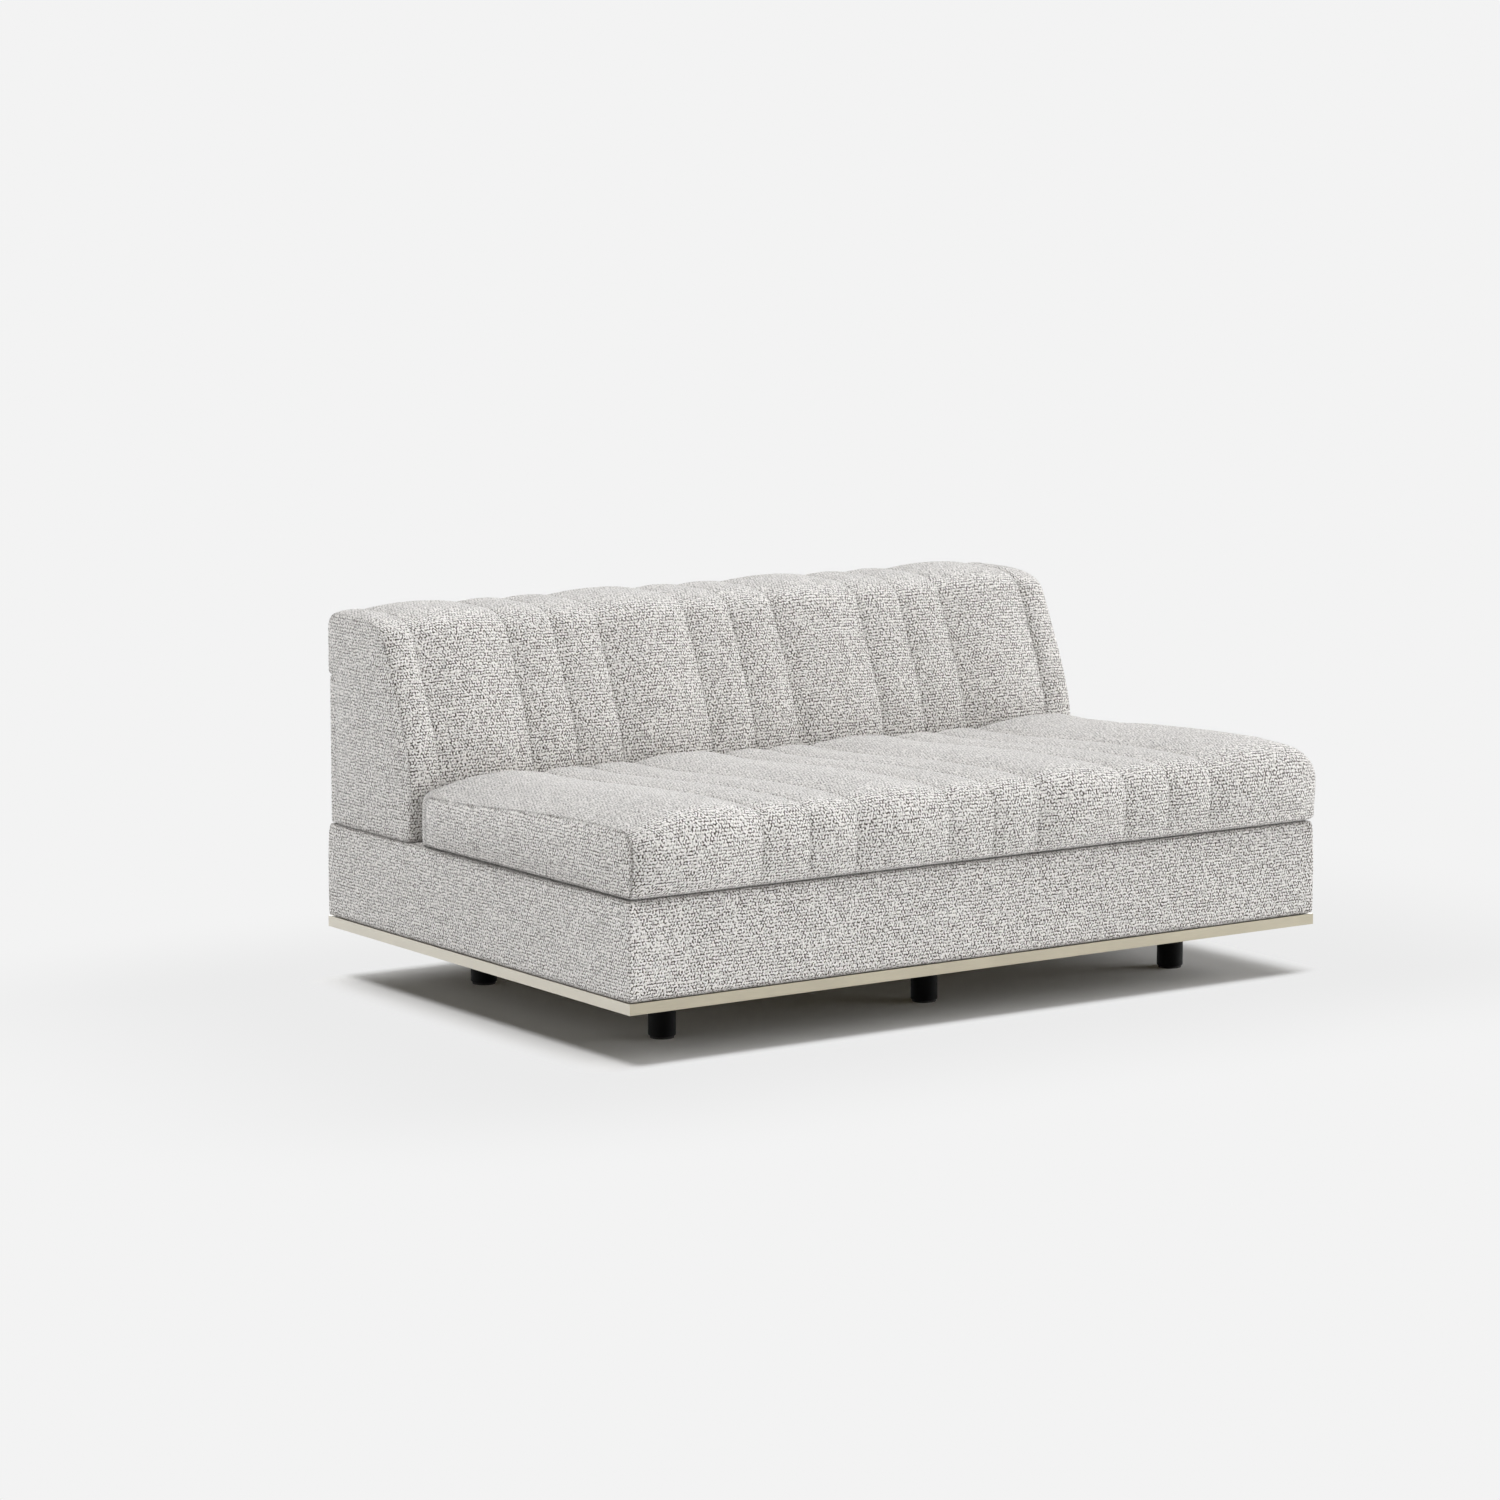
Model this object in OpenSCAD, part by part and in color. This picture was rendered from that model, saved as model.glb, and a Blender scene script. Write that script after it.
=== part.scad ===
// Armless two-seat module of a modular sofa: a channel-tufted backrest unit and a loose
// channel-tufted seat cushion on an upholstered base with a metal plinth strip and round feet.
// The origin is on the floor under the middle of the base. +X is to the sitter's left, as seen
// from the front it is to the right; +Y is to the back; +Z is up.

/* [Overall] */
// Width over the plinth strip
sofa_w = 1500; // [1470:5:2200]
// Depth over the plinth strip
sofa_d = 1010; // [950:5:1200]
// Gap between soft pieces of different bodies
soft_gap = 0.3; // [0.2:0.1:1]
// Radial clearance of bolts, studs and screws in their holes
bore_gap = 0.1; // [0.05:0.05:0.4]

/* [Feet] */
// Height from the floor to the plinth strip
leg_h = 93; // [60:1:160]
// Diameter of a foot
foot_d = 48; // [36:1:60]
// Left row of feet, in from the plinth's left edge
foot_inset_left = 197; // [100:1:300]
// Right row of feet, in from the plinth's right edge
foot_inset_right = 173; // [100:1:300]
// Middle feet, to the right of the centre line
foot_mid_shift = 9; // [-20:1:20]
// Front row of feet, in from the plinth's front edge
foot_inset_front = 201; // [120:1:260]
// Rear row of feet, in from the plinth's rear edge
foot_inset_rear = 222; // [120:1:260]
// Diameter of a glide
glide_d = 42; // [20:1:46]
// Height of a glide
glide_h = 4; // [2:0.5:8]
// Diameter of a foot stud
stud_d = 10; // [8:1:12]
// How deep a stud sits in its foot
stud_depth = 32; // [15:1:45]

/* [Plinth] */
// Height of the visible plinth strip
plinth_h = 19.5; // [12:0.5:40]
// Thickness of the angle bar
plinth_t = 3; // [2:0.5:5]
// Width of the bar's inward flange
plinth_flange = 40; // [34:1:60]
// Shadow gap between the strip and the fabric
shadow_gap = 2.5; // [1:0.5:8]

/* [Base] */
// Height of the upholstered band
band_h = 170; // [140:1:260]
// Thickness of the padded band
band_t = 12; // [6:1:20]
// How far the fabric lies inside the metal edge
band_inset = 2.5; // [0:0.5:6]
// Radius of the band's top edge
band_r = 7; // [2:0.5:10]
// Thickness of a frame rail
rail_t = 22; // [18:1:26]
// Thickness of the plywood boards under the backrest
shelf_t = 18; // [12:1:24]
// Thickness of the cloth that covers the deck
cloth_t = 2; // [1:0.5:3]
// Thickness of a foot board
board_t = 22; // [18:1:28]
// Width of a foot board
board_w = 120; // [80:1:160]
// Height of the rail under the backrest's front
brail_h = 65; // [40:1:70]
// Width of the rail under the backrest's front
brail_w = 45; // [36:1:60]
// Leg length of a corner block
block_leg = 70; // [40:1:90]
// Height of a corner block
block_h = 100; // [60:1:110]
// Width of an elastic strap
strap_w = 60; // [40:1:70]
// Thickness of an elastic strap
strap_t = 1.5; // [1:0.5:2.5]
// Distance from one strap to the next
strap_pitch = 120; // [90:1:150]

/* [Fasteners] */
// Diameter of a frame screw
screw_d = 6; // [4:0.5:8]
// Length of a frame screw
screw_l = 60; // [50:1:70]
// Diameter of a frame screw's head
screw_head_d = 11; // [9:0.5:13]
// Diameter of a plinth screw
pin_screw_d = 4; // [3:0.5:5]
// Length of a plinth screw
pin_screw_l = 24; // [16:1:30]
// Diameter of a backrest bolt
bolt_d = 8; // [6:1:10]
// Outer diameter of a link insert
insert_d = 12; // [10:0.5:13]
// Bore of a link insert
insert_bore = 6.8; // [5:0.1:8.5]
// Length of a link insert
insert_l = 18; // [12:1:24]
// Distance between the two link inserts of one side
link_span = 300; // [200:10:400]

/* [Channels] */
// Width of a narrow channel
channel_narrow = 98; // [80:1:100]
// Width of a wide channel
channel_wide = 196; // [160:1:200]

/* [Backrest] */
// Height of the backrest's end seam above the base
back_h = 388; // [340:1:460]
// How far the backrest's end faces lie inside the plinth's ends
back_inset_x = 4; // [2:0.5:10]
// How far the backrest's rear lies inside the plinth's rear
back_inset_y = 4.5; // [2:0.5:10]
// Depth of the backrest where it stands on the base
foot_depth = 281; // [260:1:300]
// Depth of the backrest's belly, as the curve's handle
belly_depth = 309; // [290:1:315]
// Height of the belly, as the curve's handle
belly_h = 128; // [100:1:140]
// Depth of the waist above the belly, as the curve's handle
waist_depth = 282; // [270:1:290]
// Height of the waist, as the curve's handle
waist_h = 172; // [160:1:190]
// Depth at the shoulder
shoulder_depth = 200; // [190:1:215]
// Drop of the shoulder below the top
shoulder_drop = 34; // [25:1:45]
// Depth at which the flat top starts
crest_depth = 112; // [80:1:140]
// Radius of the rear top edge
crest_r = 29; // [15:1:40]
// Thickness of the padded cover
cover_t = 16; // [10:1:20]
// Thickness of a side pad
side_pad_t = 10; // [6:1:14]
// Rise of the cover from its end seams to its middle
back_rise = 8; // [0:0.5:10]
// Puff of a backrest channel
back_puff = 6; // [2:0.5:9]
// Height above the base at which the crown is full
crown_h = 230; // [150:10:300]
// Height of the outer back panel's top edge above the base
lip_h = 275; // [240:1:300]
// Thickness of the outer back panel
panel_t = 20; // [12:1:24]
// Step from the cover's rear to the outer back panel
panel_step = 3; // [1:0.5:6]
// Thickness of a plywood rib
rib_t = 18; // [12:1:24]
// Depth of the ribs at their foot
rib_foot_depth = 206; // [190:1:215]
// Depth of the ribs at their top
rib_top_depth = 155; // [140:1:165]
// Foam on top of the ribs
top_foam_t = 30; // [20:1:45]
// Diameter of the holes that lighten a rib
rib_hole_d = 90; // [40:1:100]
// Wood left round such a hole
rib_edge = 20; // [15:1:40]
// Width of the rails that join the ribs
rib_rail_w = 60; // [40:1:70]

/* [Seat cushion] */
// Gap between the cushion's rear seam and the foremost line of the backrest
seat_back_gap = 8.5; // [6:0.5:30]
// How far the cushion's front seam lies behind the plinth's front
seat_front_inset = 5; // [0:0.5:12]
// How far the cushion's end seams lie inside the plinth's ends
seat_inset_x = 4; // [2:0.5:10]
// Height of the end seam at the front
seat_edge_front = 117; // [100:1:150]
// Height of the end seam at the rear
seat_edge_rear = 93; // [80:1:130]
// Radius of the top front edge
seat_nose_r = 25; // [15:1:45]
// Radius of the rear top edge
seat_rear_r = 22; // [12:1:30]
// Radius of the bottom edges
seat_foot_r = 12; // [6:1:16]
// Radius of the rear corners seen from above
seat_corner_r = 40; // [15:1:60]
// Rise of the top from its end seams to its middle
seat_rise = 20; // [8:1:30]
// Distance from an end seam over which the top rises
seat_rise_run = 130; // [60:5:260]
// Puff of a wide seat channel
seat_puff_wide = 9; // [3:0.5:14]
// Puff of a narrow seat channel
seat_puff_narrow = 5; // [2:0.5:10]
// Bulge of the end boxing
seat_end_bulge = 7; // [2:0.5:8]
// Wall of the cushion's padded cover
seat_wall = 14; // [10:1:20]
// Wall of the cover at the cushion's ends
seat_end_wall = 26; // [22:1:40]
// Height of the zip's slot
slot_h = 28; // [24:1:34]
// Distance from the cushion's underside to the slot
slot_z = 30; // [24:1:34]
// How far the zip's ends lie inside the cushion's ends
zip_inset = 96; // [70:1:200]
// Diameter of the zip's coil
coil_d = 3; // [2:0.5:4]
// Thickness of the zip's tapes
tape_t = 1; // [0.5:0.25:1.5]
// Length of the zip slider
slider_l = 16; // [10:1:20]

/* [Hidden] */

// Finishes
BOUCLE = "#c9c4bf";
CHAMPAGNE = "#b9ae98";
BLACK = "#1b1a1a";
TIMBER = "#c8a470";
STEEL = "#9a9c9e";
STRAP = "#5a4636";
FOAM = "#ece4c8";
FELT = "#2a2927";

// Levels and faces of the base
half_w = sofa_w / 2;
half_d = sofa_d / 2;
rail_z = leg_h + plinth_h;
band_z = rail_z + shadow_gap;
base_top = band_z + band_h;
cloth_z = base_top - cloth_t;
rail_top = cloth_z - shelf_t;
band_x = half_w - band_inset;
band_y = half_d - band_inset;
rail_x = band_x - band_t;
rail_y = band_y - band_t;
rail_in_x = rail_x - rail_t;
rail_in_y = rail_y - rail_t;
rail_mid_x = rail_x - rail_t / 2;
rail_mid_y = rail_y - rail_t / 2;
flange_x = half_w - plinth_flange;
flange_y = half_d - plinth_flange;
flange_z = rail_z - plinth_t;
board_top = rail_z + board_t;

// Places of the feet
foot_x = [-half_w + foot_inset_left, foot_mid_shift, half_w - foot_inset_right];
foot_y_front = -half_d + foot_inset_front;
foot_y_rear = half_d - foot_inset_rear;
foot_r = foot_d / 2;
stud_r = stud_d / 2;
stud_top = board_top - 2.5;
tnut_wall = 1.2;
tnut_flange_t = 2;
tnut_flange_r = stud_r + 7;
tnut_r = stud_r + bore_gap + tnut_wall;
peg_r = 3;
peg_l = 10;
dust_t = 1;
dust_gap = 1;

// Fasteners
screw_r = screw_d / 2;
screw_head_r = screw_head_d / 2;
screw_head_h = 4;
pin_screw_r = pin_screw_d / 2;
pin_head_r = pin_screw_r * 2;
pin_head_h = 2.5;
bolt_r = bolt_d / 2;
bolt_head_r = bolt_r * 1.85;
bolt_head_h = bolt_r * 1.3;
washer_r = bolt_r * 2.9;
washer_t = 1.6;
bolt_x = [-580, -200, 200, 580];
link_bore_r = 4.5;
link_y = [-link_span / 2, link_span / 2];

// Points of a cubic curve, an arc and a straight run, each without its last point
function cubic(a, b, c, d, n) = [for (i = [0 : n - 1]) let (t = i / n, s = 1 - t)
    s * s * s * a + 3 * s * s * t * b + 3 * s * t * t * c + t * t * t * d];
function arc(centre, r, from, to, n) = [for (i = [0 : n - 1])
    centre + r * [cos(from + (to - from) * i / n), sin(from + (to - from) * i / n)]];
function run(a, b, n) = [for (i = [0 : n - 1]) a + (b - a) * i / n];

// The outward normal of a path that runs clockwise, and the path moved inwards
function unit(v) = v / norm(v);
function outward(p, i) = let (d = unit(p[min(i + 1, len(p) - 1)] - p[max(i - 1, 0)])) [-d[1], d[0]];
function inset(p, t) = [for (i = [0 : len(p) - 1]) p[i] - t * outward(p, i)];
function reversed(p) = [for (i = [len(p) - 1 : -1 : 0]) p[i]];
function total(v, n) = n == 0 ? 0 : v[n - 1] + total(v, n - 1);

// Stations across the channels: x, and how far the cloth puffs there
function puffed(a, b, n, puff) = [for (i = [0 : n - 1]) [a + (b - a) * i / n, puff * pow(sin(180 * i / n), 0.7)]];
function mirrored(s) = [for (i = [len(s) - 1 : -1 : 0]) [-s[i][0], s[i][1]]];

// The backrest's end outline: up the front, over the top and down the rear to the lip. It
// starts a little below the deck, and the pieces made from it are cut flat where they stand.
rear_y = half_d - back_inset_y;
back_x = half_w - back_inset_x;
cover_x = back_x - side_pad_t;
crest_z = base_top + back_h;
lip_z = base_top + lip_h;
tuck = 6;
front_foot = [rear_y - foot_depth, base_top - tuck];
shoulder = [rear_y - shoulder_depth, crest_z - shoulder_drop];
waist = [rear_y - waist_depth, base_top + waist_h];
shoulder_slope = unit(shoulder - waist);
function back_path(front_n, top_n, edge_n) = concat(
    cubic(front_foot, [rear_y - belly_depth, base_top + belly_h], waist, shoulder, front_n),
    cubic(shoulder, shoulder + shoulder_slope * shoulder_drop * 0.65,
        [rear_y - crest_depth - shoulder_drop * 1.4, crest_z], [rear_y - crest_depth, crest_z], top_n),
    run([rear_y - crest_depth, crest_z], [rear_y - crest_r, crest_z], 1),
    arc([rear_y - crest_r, crest_z - crest_r], crest_r, 90, 0, edge_n),
    [[rear_y, crest_z - crest_r], [rear_y, lip_z]]
);
back_outline = back_path(5, 3, 2);
function back_lining(gap) = inset(back_outline, cover_t + gap);
back_steps = [channel_narrow, channel_wide, channel_narrow, channel_narrow, channel_wide];
back_border = cover_x - total(back_steps, 5);

// The ribs inside the backrest
panel_rear = rear_y - panel_step;
panel_front = panel_rear - panel_t;
rib_rear = panel_front - soft_gap;
board_z = base_top + shelf_t;
rib_top = crest_z - cover_t - top_foam_t;
rib_foot = [rear_y - rib_foot_depth, board_z];
rib_head = [rear_y - rib_top_depth, rib_top];
rib_x = cover_x - soft_gap;
rib_mid = 256;
back_board_y = rear_y - foot_depth + cover_t + 1.5;
rail_rest = 25;
bolt_y = (back_board_y + rib_rear) / 2;
shelf_y = back_board_y - 6;
brail_y = shelf_y - rail_rest;

// The cushion's end outline, clockwise from the bottom front
seat_z = base_top + soft_gap;
seat_front = -half_d + seat_front_inset;
back_front_y = min([for (p = back_outline) p[0]]);
seat_rear = back_front_y - seat_back_gap;
seat_x = half_w - seat_inset_x;
seat_path = concat(
    arc([seat_front + seat_foot_r, seat_z + seat_foot_r], seat_foot_r, 270, 180, 2),
    run([seat_front, seat_z + seat_foot_r], [seat_front, seat_z + seat_edge_front - seat_nose_r], 2),
    arc([seat_front + seat_nose_r, seat_z + seat_edge_front - seat_nose_r], seat_nose_r, 180, 90, 4),
    run([seat_front + seat_nose_r, seat_z + seat_edge_front],
        [seat_rear - seat_rear_r, seat_z + seat_edge_rear], 5),
    arc([seat_rear - seat_rear_r, seat_z + seat_edge_rear - seat_rear_r], seat_rear_r, 90, 0, 3),
    [[seat_rear, seat_z + seat_edge_rear - seat_rear_r]],
    arc([seat_rear - seat_foot_r, seat_z + seat_foot_r], seat_foot_r, 0, -90, 2),
    [[seat_rear - seat_foot_r, seat_z]]
);
seat_steps = [channel_narrow, channel_wide, channel_narrow, channel_narrow];

// The zip in the cushion's rear boxing
zip_l = 2 * (seat_x - zip_inset);
slot_mid_z = seat_z + slot_z + slot_h / 2;
coil_r = coil_d / 2;
tape_y = seat_rear - seat_wall + 4;
slider_gap = 0.3;
slider_wall = 1.5;
slider_w = 9;

// A closed loft through rings of the same even number of points, given as [x, [[y, z], ...]].
// The ends are closed by strips from the first half of a ring to its second half, so that
// they stay true where the ring bends round a hollow.
module loft(rings) {
    m = len(rings[0][1]);
    n = len(rings);
    points = [for (r = rings) for (p = r[1]) [r[0], p[0], p[1]]];
    sides = [for (i = [0 : n - 2]) for (j = [0 : m - 1])
        let (k = (j + 1) % m, a = i * m, b = a + m)
        each [[a + j, a + k, b + k], [a + j, b + k, b + j]]];
    last = (n - 1) * m;
    near_end = [for (j = [0 : m / 2 - 2]) [m - 1 - j, m - 2 - j, j + 1, j]];
    far_end = [for (j = [0 : m / 2 - 2]) [last + j, last + j + 1, last + m - 2 - j, last + m - 1 - j]];
    polyhedron(points = points, faces = concat(near_end, far_end, sides));
}

// A profile drawn as (y, z), carried along X between two stations
module along_x(x0, x1) {
    translate([x0, 0, 0]) rotate([90, 0, 90]) linear_extrude(x1 - x0) children();
}

// A box between two corners
module span(a, b) {
    translate(a) cube(b - a);
}

// A rod along Z between two levels
module rod(r, z0, z1) {
    translate([0, 0, z0]) cylinder(r = r, h = z1 - z0, $fn = 48);
}

// Bars round the base, with mitred corners: the profile is drawn as (inwards, z)
module mitred_front(hx, hy, t) {
    intersection() {
        along_x(-hx, hx) translate([-hy, 0]) children();
        linear_extrude(base_top * 2) polygon([[-hx, -hy], [hx, -hy], [hx - t, t - hy], [t - hx, t - hy]]);
    }
}

module mitred_left(hx, hy, t) {
    intersection() {
        translate([-hx, hy, 0]) rotate([90, 0, 0]) linear_extrude(hy * 2) children();
        linear_extrude(base_top * 2) polygon([[-hx, -hy], [t - hx, t - hy], [t - hx, hy - t], [-hx, hy]]);
    }
}

// Feet
module foot(x, y) {
    chamfer = 1.5;
    color(BLACK) translate([x, y, 0]) difference() {
        rotate_extrude($fn = 96) polygon([
            [0, glide_h], [foot_r - chamfer, glide_h], [foot_r, glide_h + chamfer],
            [foot_r, rail_z - chamfer], [foot_r - chamfer, rail_z], [0, rail_z]
        ]);
        rod(stud_r + bore_gap, rail_z - stud_depth - 1, rail_z + 1);
        rod(peg_r + bore_gap, glide_h - 1, glide_h + peg_l + 1);
    }
}

module at_feet() {
    for (x = foot_x, y = [foot_y_front, foot_y_rear]) translate([x, y, 0]) children();
}

module foot_glides() {
    color(FELT) at_feet() {
        rod(glide_d / 2, 0, glide_h);
        rod(peg_r, glide_h - 1, glide_h + peg_l);
    }
}

module foot_studs() {
    color(STEEL) at_feet() rod(stud_r, rail_z - stud_depth, stud_top);
}

module foot_tnuts() {
    color(STEEL) at_feet() difference() {
        union() {
            rod(tnut_r, rail_z + 2, board_top);
            rod(tnut_flange_r, board_top - tnut_flange_t, board_top);
        }
        rod(stud_r + bore_gap, rail_z, board_top + 1);
    }
}

// Plinth
module plinth_angle() {
    translate([0, leg_h]) square([plinth_t, plinth_h]);
    translate([0, flange_z]) square([plinth_flange, plinth_t]);
}

module at_plinth_screws_x() {
    for (x = [-2 : 2], side = [-1, 1]) translate([x * 300, side * rail_mid_y, 0]) children();
}

module at_plinth_screws_y() {
    for (y = [-1 : 1], side = [-1, 1]) translate([side * rail_mid_x, y * 400, 0]) children();
}

module at_links() {
    for (y = link_y, side = [-1, 1]) translate([side * rail_mid_x, y, 0]) children();
}

module pin_screw(gap) {
    rod(pin_screw_r + gap, flange_z - 1, flange_z + pin_screw_l + gap);
}

module plinth_bar_front() {
    color(CHAMPAGNE) difference() {
        mitred_front(half_w, half_d, plinth_flange) plinth_angle();
        at_plinth_screws_x() pin_screw(bore_gap);
    }
}

module plinth_bar_rear() {
    mirror([0, 1, 0]) plinth_bar_front();
}

module plinth_bar_left() {
    color(CHAMPAGNE) difference() {
        mitred_left(half_w, half_d, plinth_flange) plinth_angle();
        at_plinth_screws_y() pin_screw(bore_gap);
        at_links() rod(link_bore_r, flange_z - 1, rail_z + 1);
    }
}

module plinth_bar_right() {
    mirror([1, 0, 0]) plinth_bar_left();
}

module plinth_screw() {
    rod(pin_screw_r, flange_z - 1, flange_z + pin_screw_l);
    rod(pin_head_r, flange_z - pin_head_h, flange_z);
}

module plinth_screws() {
    color(STEEL) {
        at_plinth_screws_x() plinth_screw();
        at_plinth_screws_y() plinth_screw();
    }
}

// Timber frame
module screw_y(gap) {
    rotate([-90, 0, 0]) screw_body(gap);
}

module screw_body(gap) {
    rod(screw_r + gap, 1, screw_l + gap);
    rod(screw_head_r + gap, 0, screw_head_h);
}

corner_screw_z = [rail_z + 40, rail_top - 30];
centre_z = [board_top, rail_top - brail_h];
centre_mid_z = (centre_z[0] + centre_z[1]) / 2;
brail_mid_z = rail_top - brail_h / 2;
brail_mid_y = brail_y + brail_w / 2;

// Screws through the front and rear rails into the ends of the rails between them
module end_screws(gap) {
    for (side = [0, 1]) mirror([0, side, 0]) {
        for (x = [-rail_mid_x, rail_mid_x], z = corner_screw_z) translate([x, -rail_y, z]) screw_y(gap);
        translate([0, -rail_y, centre_mid_z]) screw_y(gap);
    }
}

// Screws through the side rails into the foot boards and the rail under the backrest
module side_screws(gap) {
    for (side = [0, 1]) mirror([side, 0, 0]) {
        for (y = [foot_y_front, foot_y_rear], step = [-30, 30])
            translate([-rail_x, y + step, rail_z + board_t / 2]) rotate([0, 90, 0]) screw_body(gap);
        translate([-rail_x, brail_mid_y, brail_mid_z]) rotate([0, 90, 0]) screw_body(gap);
    }
}

module frame_screws() {
    color(STEEL) {
        end_screws(0);
        side_screws(0);
    }
}

module rail_front() {
    color(TIMBER) difference() {
        span([-rail_x, -rail_y, rail_z], [rail_x, -rail_in_y, rail_top]);
        end_screws(bore_gap);
        at_plinth_screws_x() pin_screw(bore_gap);
    }
}

module rail_rear() {
    mirror([0, 1, 0]) rail_front();
}

module rail_left() {
    color(TIMBER) difference() {
        span([-rail_x, -rail_in_y, rail_z], [-rail_in_x, rail_in_y, rail_top]);
        end_screws(bore_gap);
        side_screws(bore_gap);
        at_plinth_screws_y() pin_screw(bore_gap);
        at_links() rod(insert_d / 2 + bore_gap, rail_z - 1, rail_z + insert_l);
    }
}

module rail_right() {
    mirror([1, 0, 0]) rail_left();
}

module rail_centre() {
    color(TIMBER) difference() {
        span([-rail_t / 2, -rail_in_y, centre_z[0]], [rail_t / 2, rail_in_y, centre_z[1]]);
        end_screws(bore_gap);
    }
}

module rail_backrest() {
    color(TIMBER) difference() {
        span([-rail_in_x, brail_y, rail_top - brail_h], [rail_in_x, brail_y + brail_w, rail_top]);
        side_screws(bore_gap);
    }
}

module foot_board(y) {
    color(TIMBER) difference() {
        span([-rail_in_x, y - board_w / 2, rail_z], [rail_in_x, y + board_w / 2, board_top]);
        side_screws(bore_gap);
        at_feet() {
            rod(tnut_r + bore_gap, rail_z - 1, board_top + 1);
            rod(tnut_flange_r + bore_gap, board_top - tnut_flange_t, board_top + 1);
        }
    }
}

module corner_blocks() {
    color(TIMBER) for (sx = [0, 1], sy = [0, 1]) mirror([sx, 0, 0]) mirror([0, sy, 0])
        translate([-rail_in_x, -rail_in_y, rail_top - block_h - 20])
            linear_extrude(block_h) polygon([[0, 0], [block_leg, 0], [block_leg, 12], [12, block_leg], [0, block_leg]]);
}

module link_inserts() {
    color(STEEL) at_links() difference() {
        rod(insert_d / 2, rail_z, rail_z + insert_l);
        rod(insert_bore / 2, rail_z - 1, rail_z + insert_l + 1);
    }
}

module at_bolts() {
    for (x = bolt_x) translate([x, bolt_y, 0]) children();
}

module backrest_shelf() {
    color(TIMBER) difference() {
        span([-rail_x, shelf_y, rail_top], [rail_x, rail_y, cloth_z]);
        at_bolts() rod(bolt_r + bore_gap, rail_top - 1, cloth_z + 1);
    }
}

// Deck of the base
strap_y0 = -rail_y + 2;
strap_y1 = shelf_y - soft_gap;
cross_n = floor((rail_x - strap_w) / strap_pitch);
length_n = floor((brail_y + rail_in_y - strap_w) / strap_pitch);
length_y0 = (brail_y - rail_in_y) / 2;

module webbing_crosswise() {
    color(STRAP) for (i = [-cross_n : cross_n])
        translate([i * strap_pitch - strap_w / 2, strap_y0, rail_top]) cube([strap_w, strap_y1 - strap_y0, strap_t]);
}

module webbing_lengthwise() {
    color(STRAP) for (i = [0 : length_n])
        translate([2 - rail_x, length_y0 + (i - length_n / 2) * strap_pitch - strap_w / 2, rail_top + strap_t])
            cube([(rail_x - 2) * 2, strap_w, strap_t]);
}

module deck_pad() {
    color(FOAM) span([-rail_x, -rail_y, rail_top + 2 * strap_t], [rail_x, strap_y1, cloth_z]);
}

module deck_cover() {
    color(BOUCLE) difference() {
        span([-rail_x, -rail_y, cloth_z], [rail_x, rail_y, base_top]);
        at_bolts() rod(bolt_r + bore_gap, cloth_z - 1, base_top + 1);
    }
}

module band_profile() {
    difference() {
        translate([0, band_z]) square([band_t, band_h]);
        translate([-1, base_top - band_r]) square([band_r + 1, band_r + 1]);
    }
    intersection() {
        translate([band_r, base_top - band_r]) circle(r = band_r, $fn = 48);
        translate([0, base_top - band_r]) square([band_r, band_r]);
    }
}

module band_front() {
    color(BOUCLE) mitred_front(band_x, band_y, band_t) band_profile();
}

module band_rear() {
    mirror([0, 1, 0]) band_front();
}

module band_left() {
    color(BOUCLE) mitred_left(band_x, band_y, band_t) band_profile();
}

module band_right() {
    mirror([1, 0, 0]) band_left();
}

module dust_cover() {
    color(BLACK) difference() {
        span([soft_gap - flange_x, soft_gap - flange_y, rail_z - dust_t],
            [flange_x - soft_gap, flange_y - soft_gap, rail_z]);
        at_feet() rod(foot_r + dust_gap, rail_z - dust_t - 1, rail_z + 1);
    }
}

// Frame of the backrest
module back_bottom_board() {
    color(TIMBER) difference() {
        span([-rib_x, back_board_y, base_top], [rib_x, rib_rear, board_z]);
        at_bolts() {
            rod(bolt_r + tnut_wall + 2 * bore_gap, base_top - 1, board_z + 1);
            rod(washer_r + bore_gap, board_z - washer_t, board_z + 1);
        }
    }
}

module back_bolts() {
    color(STEEL) at_bolts() {
        rod(bolt_r, rail_top - washer_t - 1, board_z - 4);
        rod(washer_r, rail_top - washer_t, rail_top);
        translate([0, 0, rail_top - washer_t - bolt_head_h]) cylinder(r = bolt_head_r, h = bolt_head_h, $fn = 6);
    }
}

module back_tnuts() {
    color(STEEL) at_bolts() difference() {
        union() {
            rod(bolt_r + tnut_wall + bore_gap, base_top + 2, board_z);
            rod(washer_r, board_z - washer_t, board_z);
        }
        rod(bolt_r + bore_gap, base_top, board_z + 1);
    }
}

rib_outline = [rib_foot, rib_head, [rib_rear, rib_top], [rib_rear, board_z]];
top_rail_y = rib_head[0];
rear_rail_y = rib_rear - rail_t;
rear_rail_z = lip_z - rib_rail_w / 2;

module top_rail_profile() {
    translate([top_rail_y, rib_top - rib_rail_w]) square([rail_t, rib_rail_w]);
}

module rear_rail_profile() {
    translate([rear_rail_y, rear_rail_z]) square([rail_t, rib_rail_w]);
}

// Two holes lighten each rib, halfway between its front edge and the rear rail
rib_holes_z = [board_z + rib_edge + rib_hole_d / 2, board_z + 2 * rib_edge + 1.5 * rib_hole_d];
function rib_front_y(z) = rib_foot[0] + (rib_head[0] - rib_foot[0]) * (z - board_z) / (rib_top - board_z);

module rib_profile() {
    difference() {
        polygon(rib_outline);
        top_rail_profile();
        rear_rail_profile();
        for (z = rib_holes_z) translate([(rib_front_y(z) + rear_rail_y) / 2, z]) circle(d = rib_hole_d, $fn = 64);
    }
}

module back_rib(x0) {
    color(TIMBER) along_x(x0, x0 + rib_t) rib_profile();
}

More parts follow.
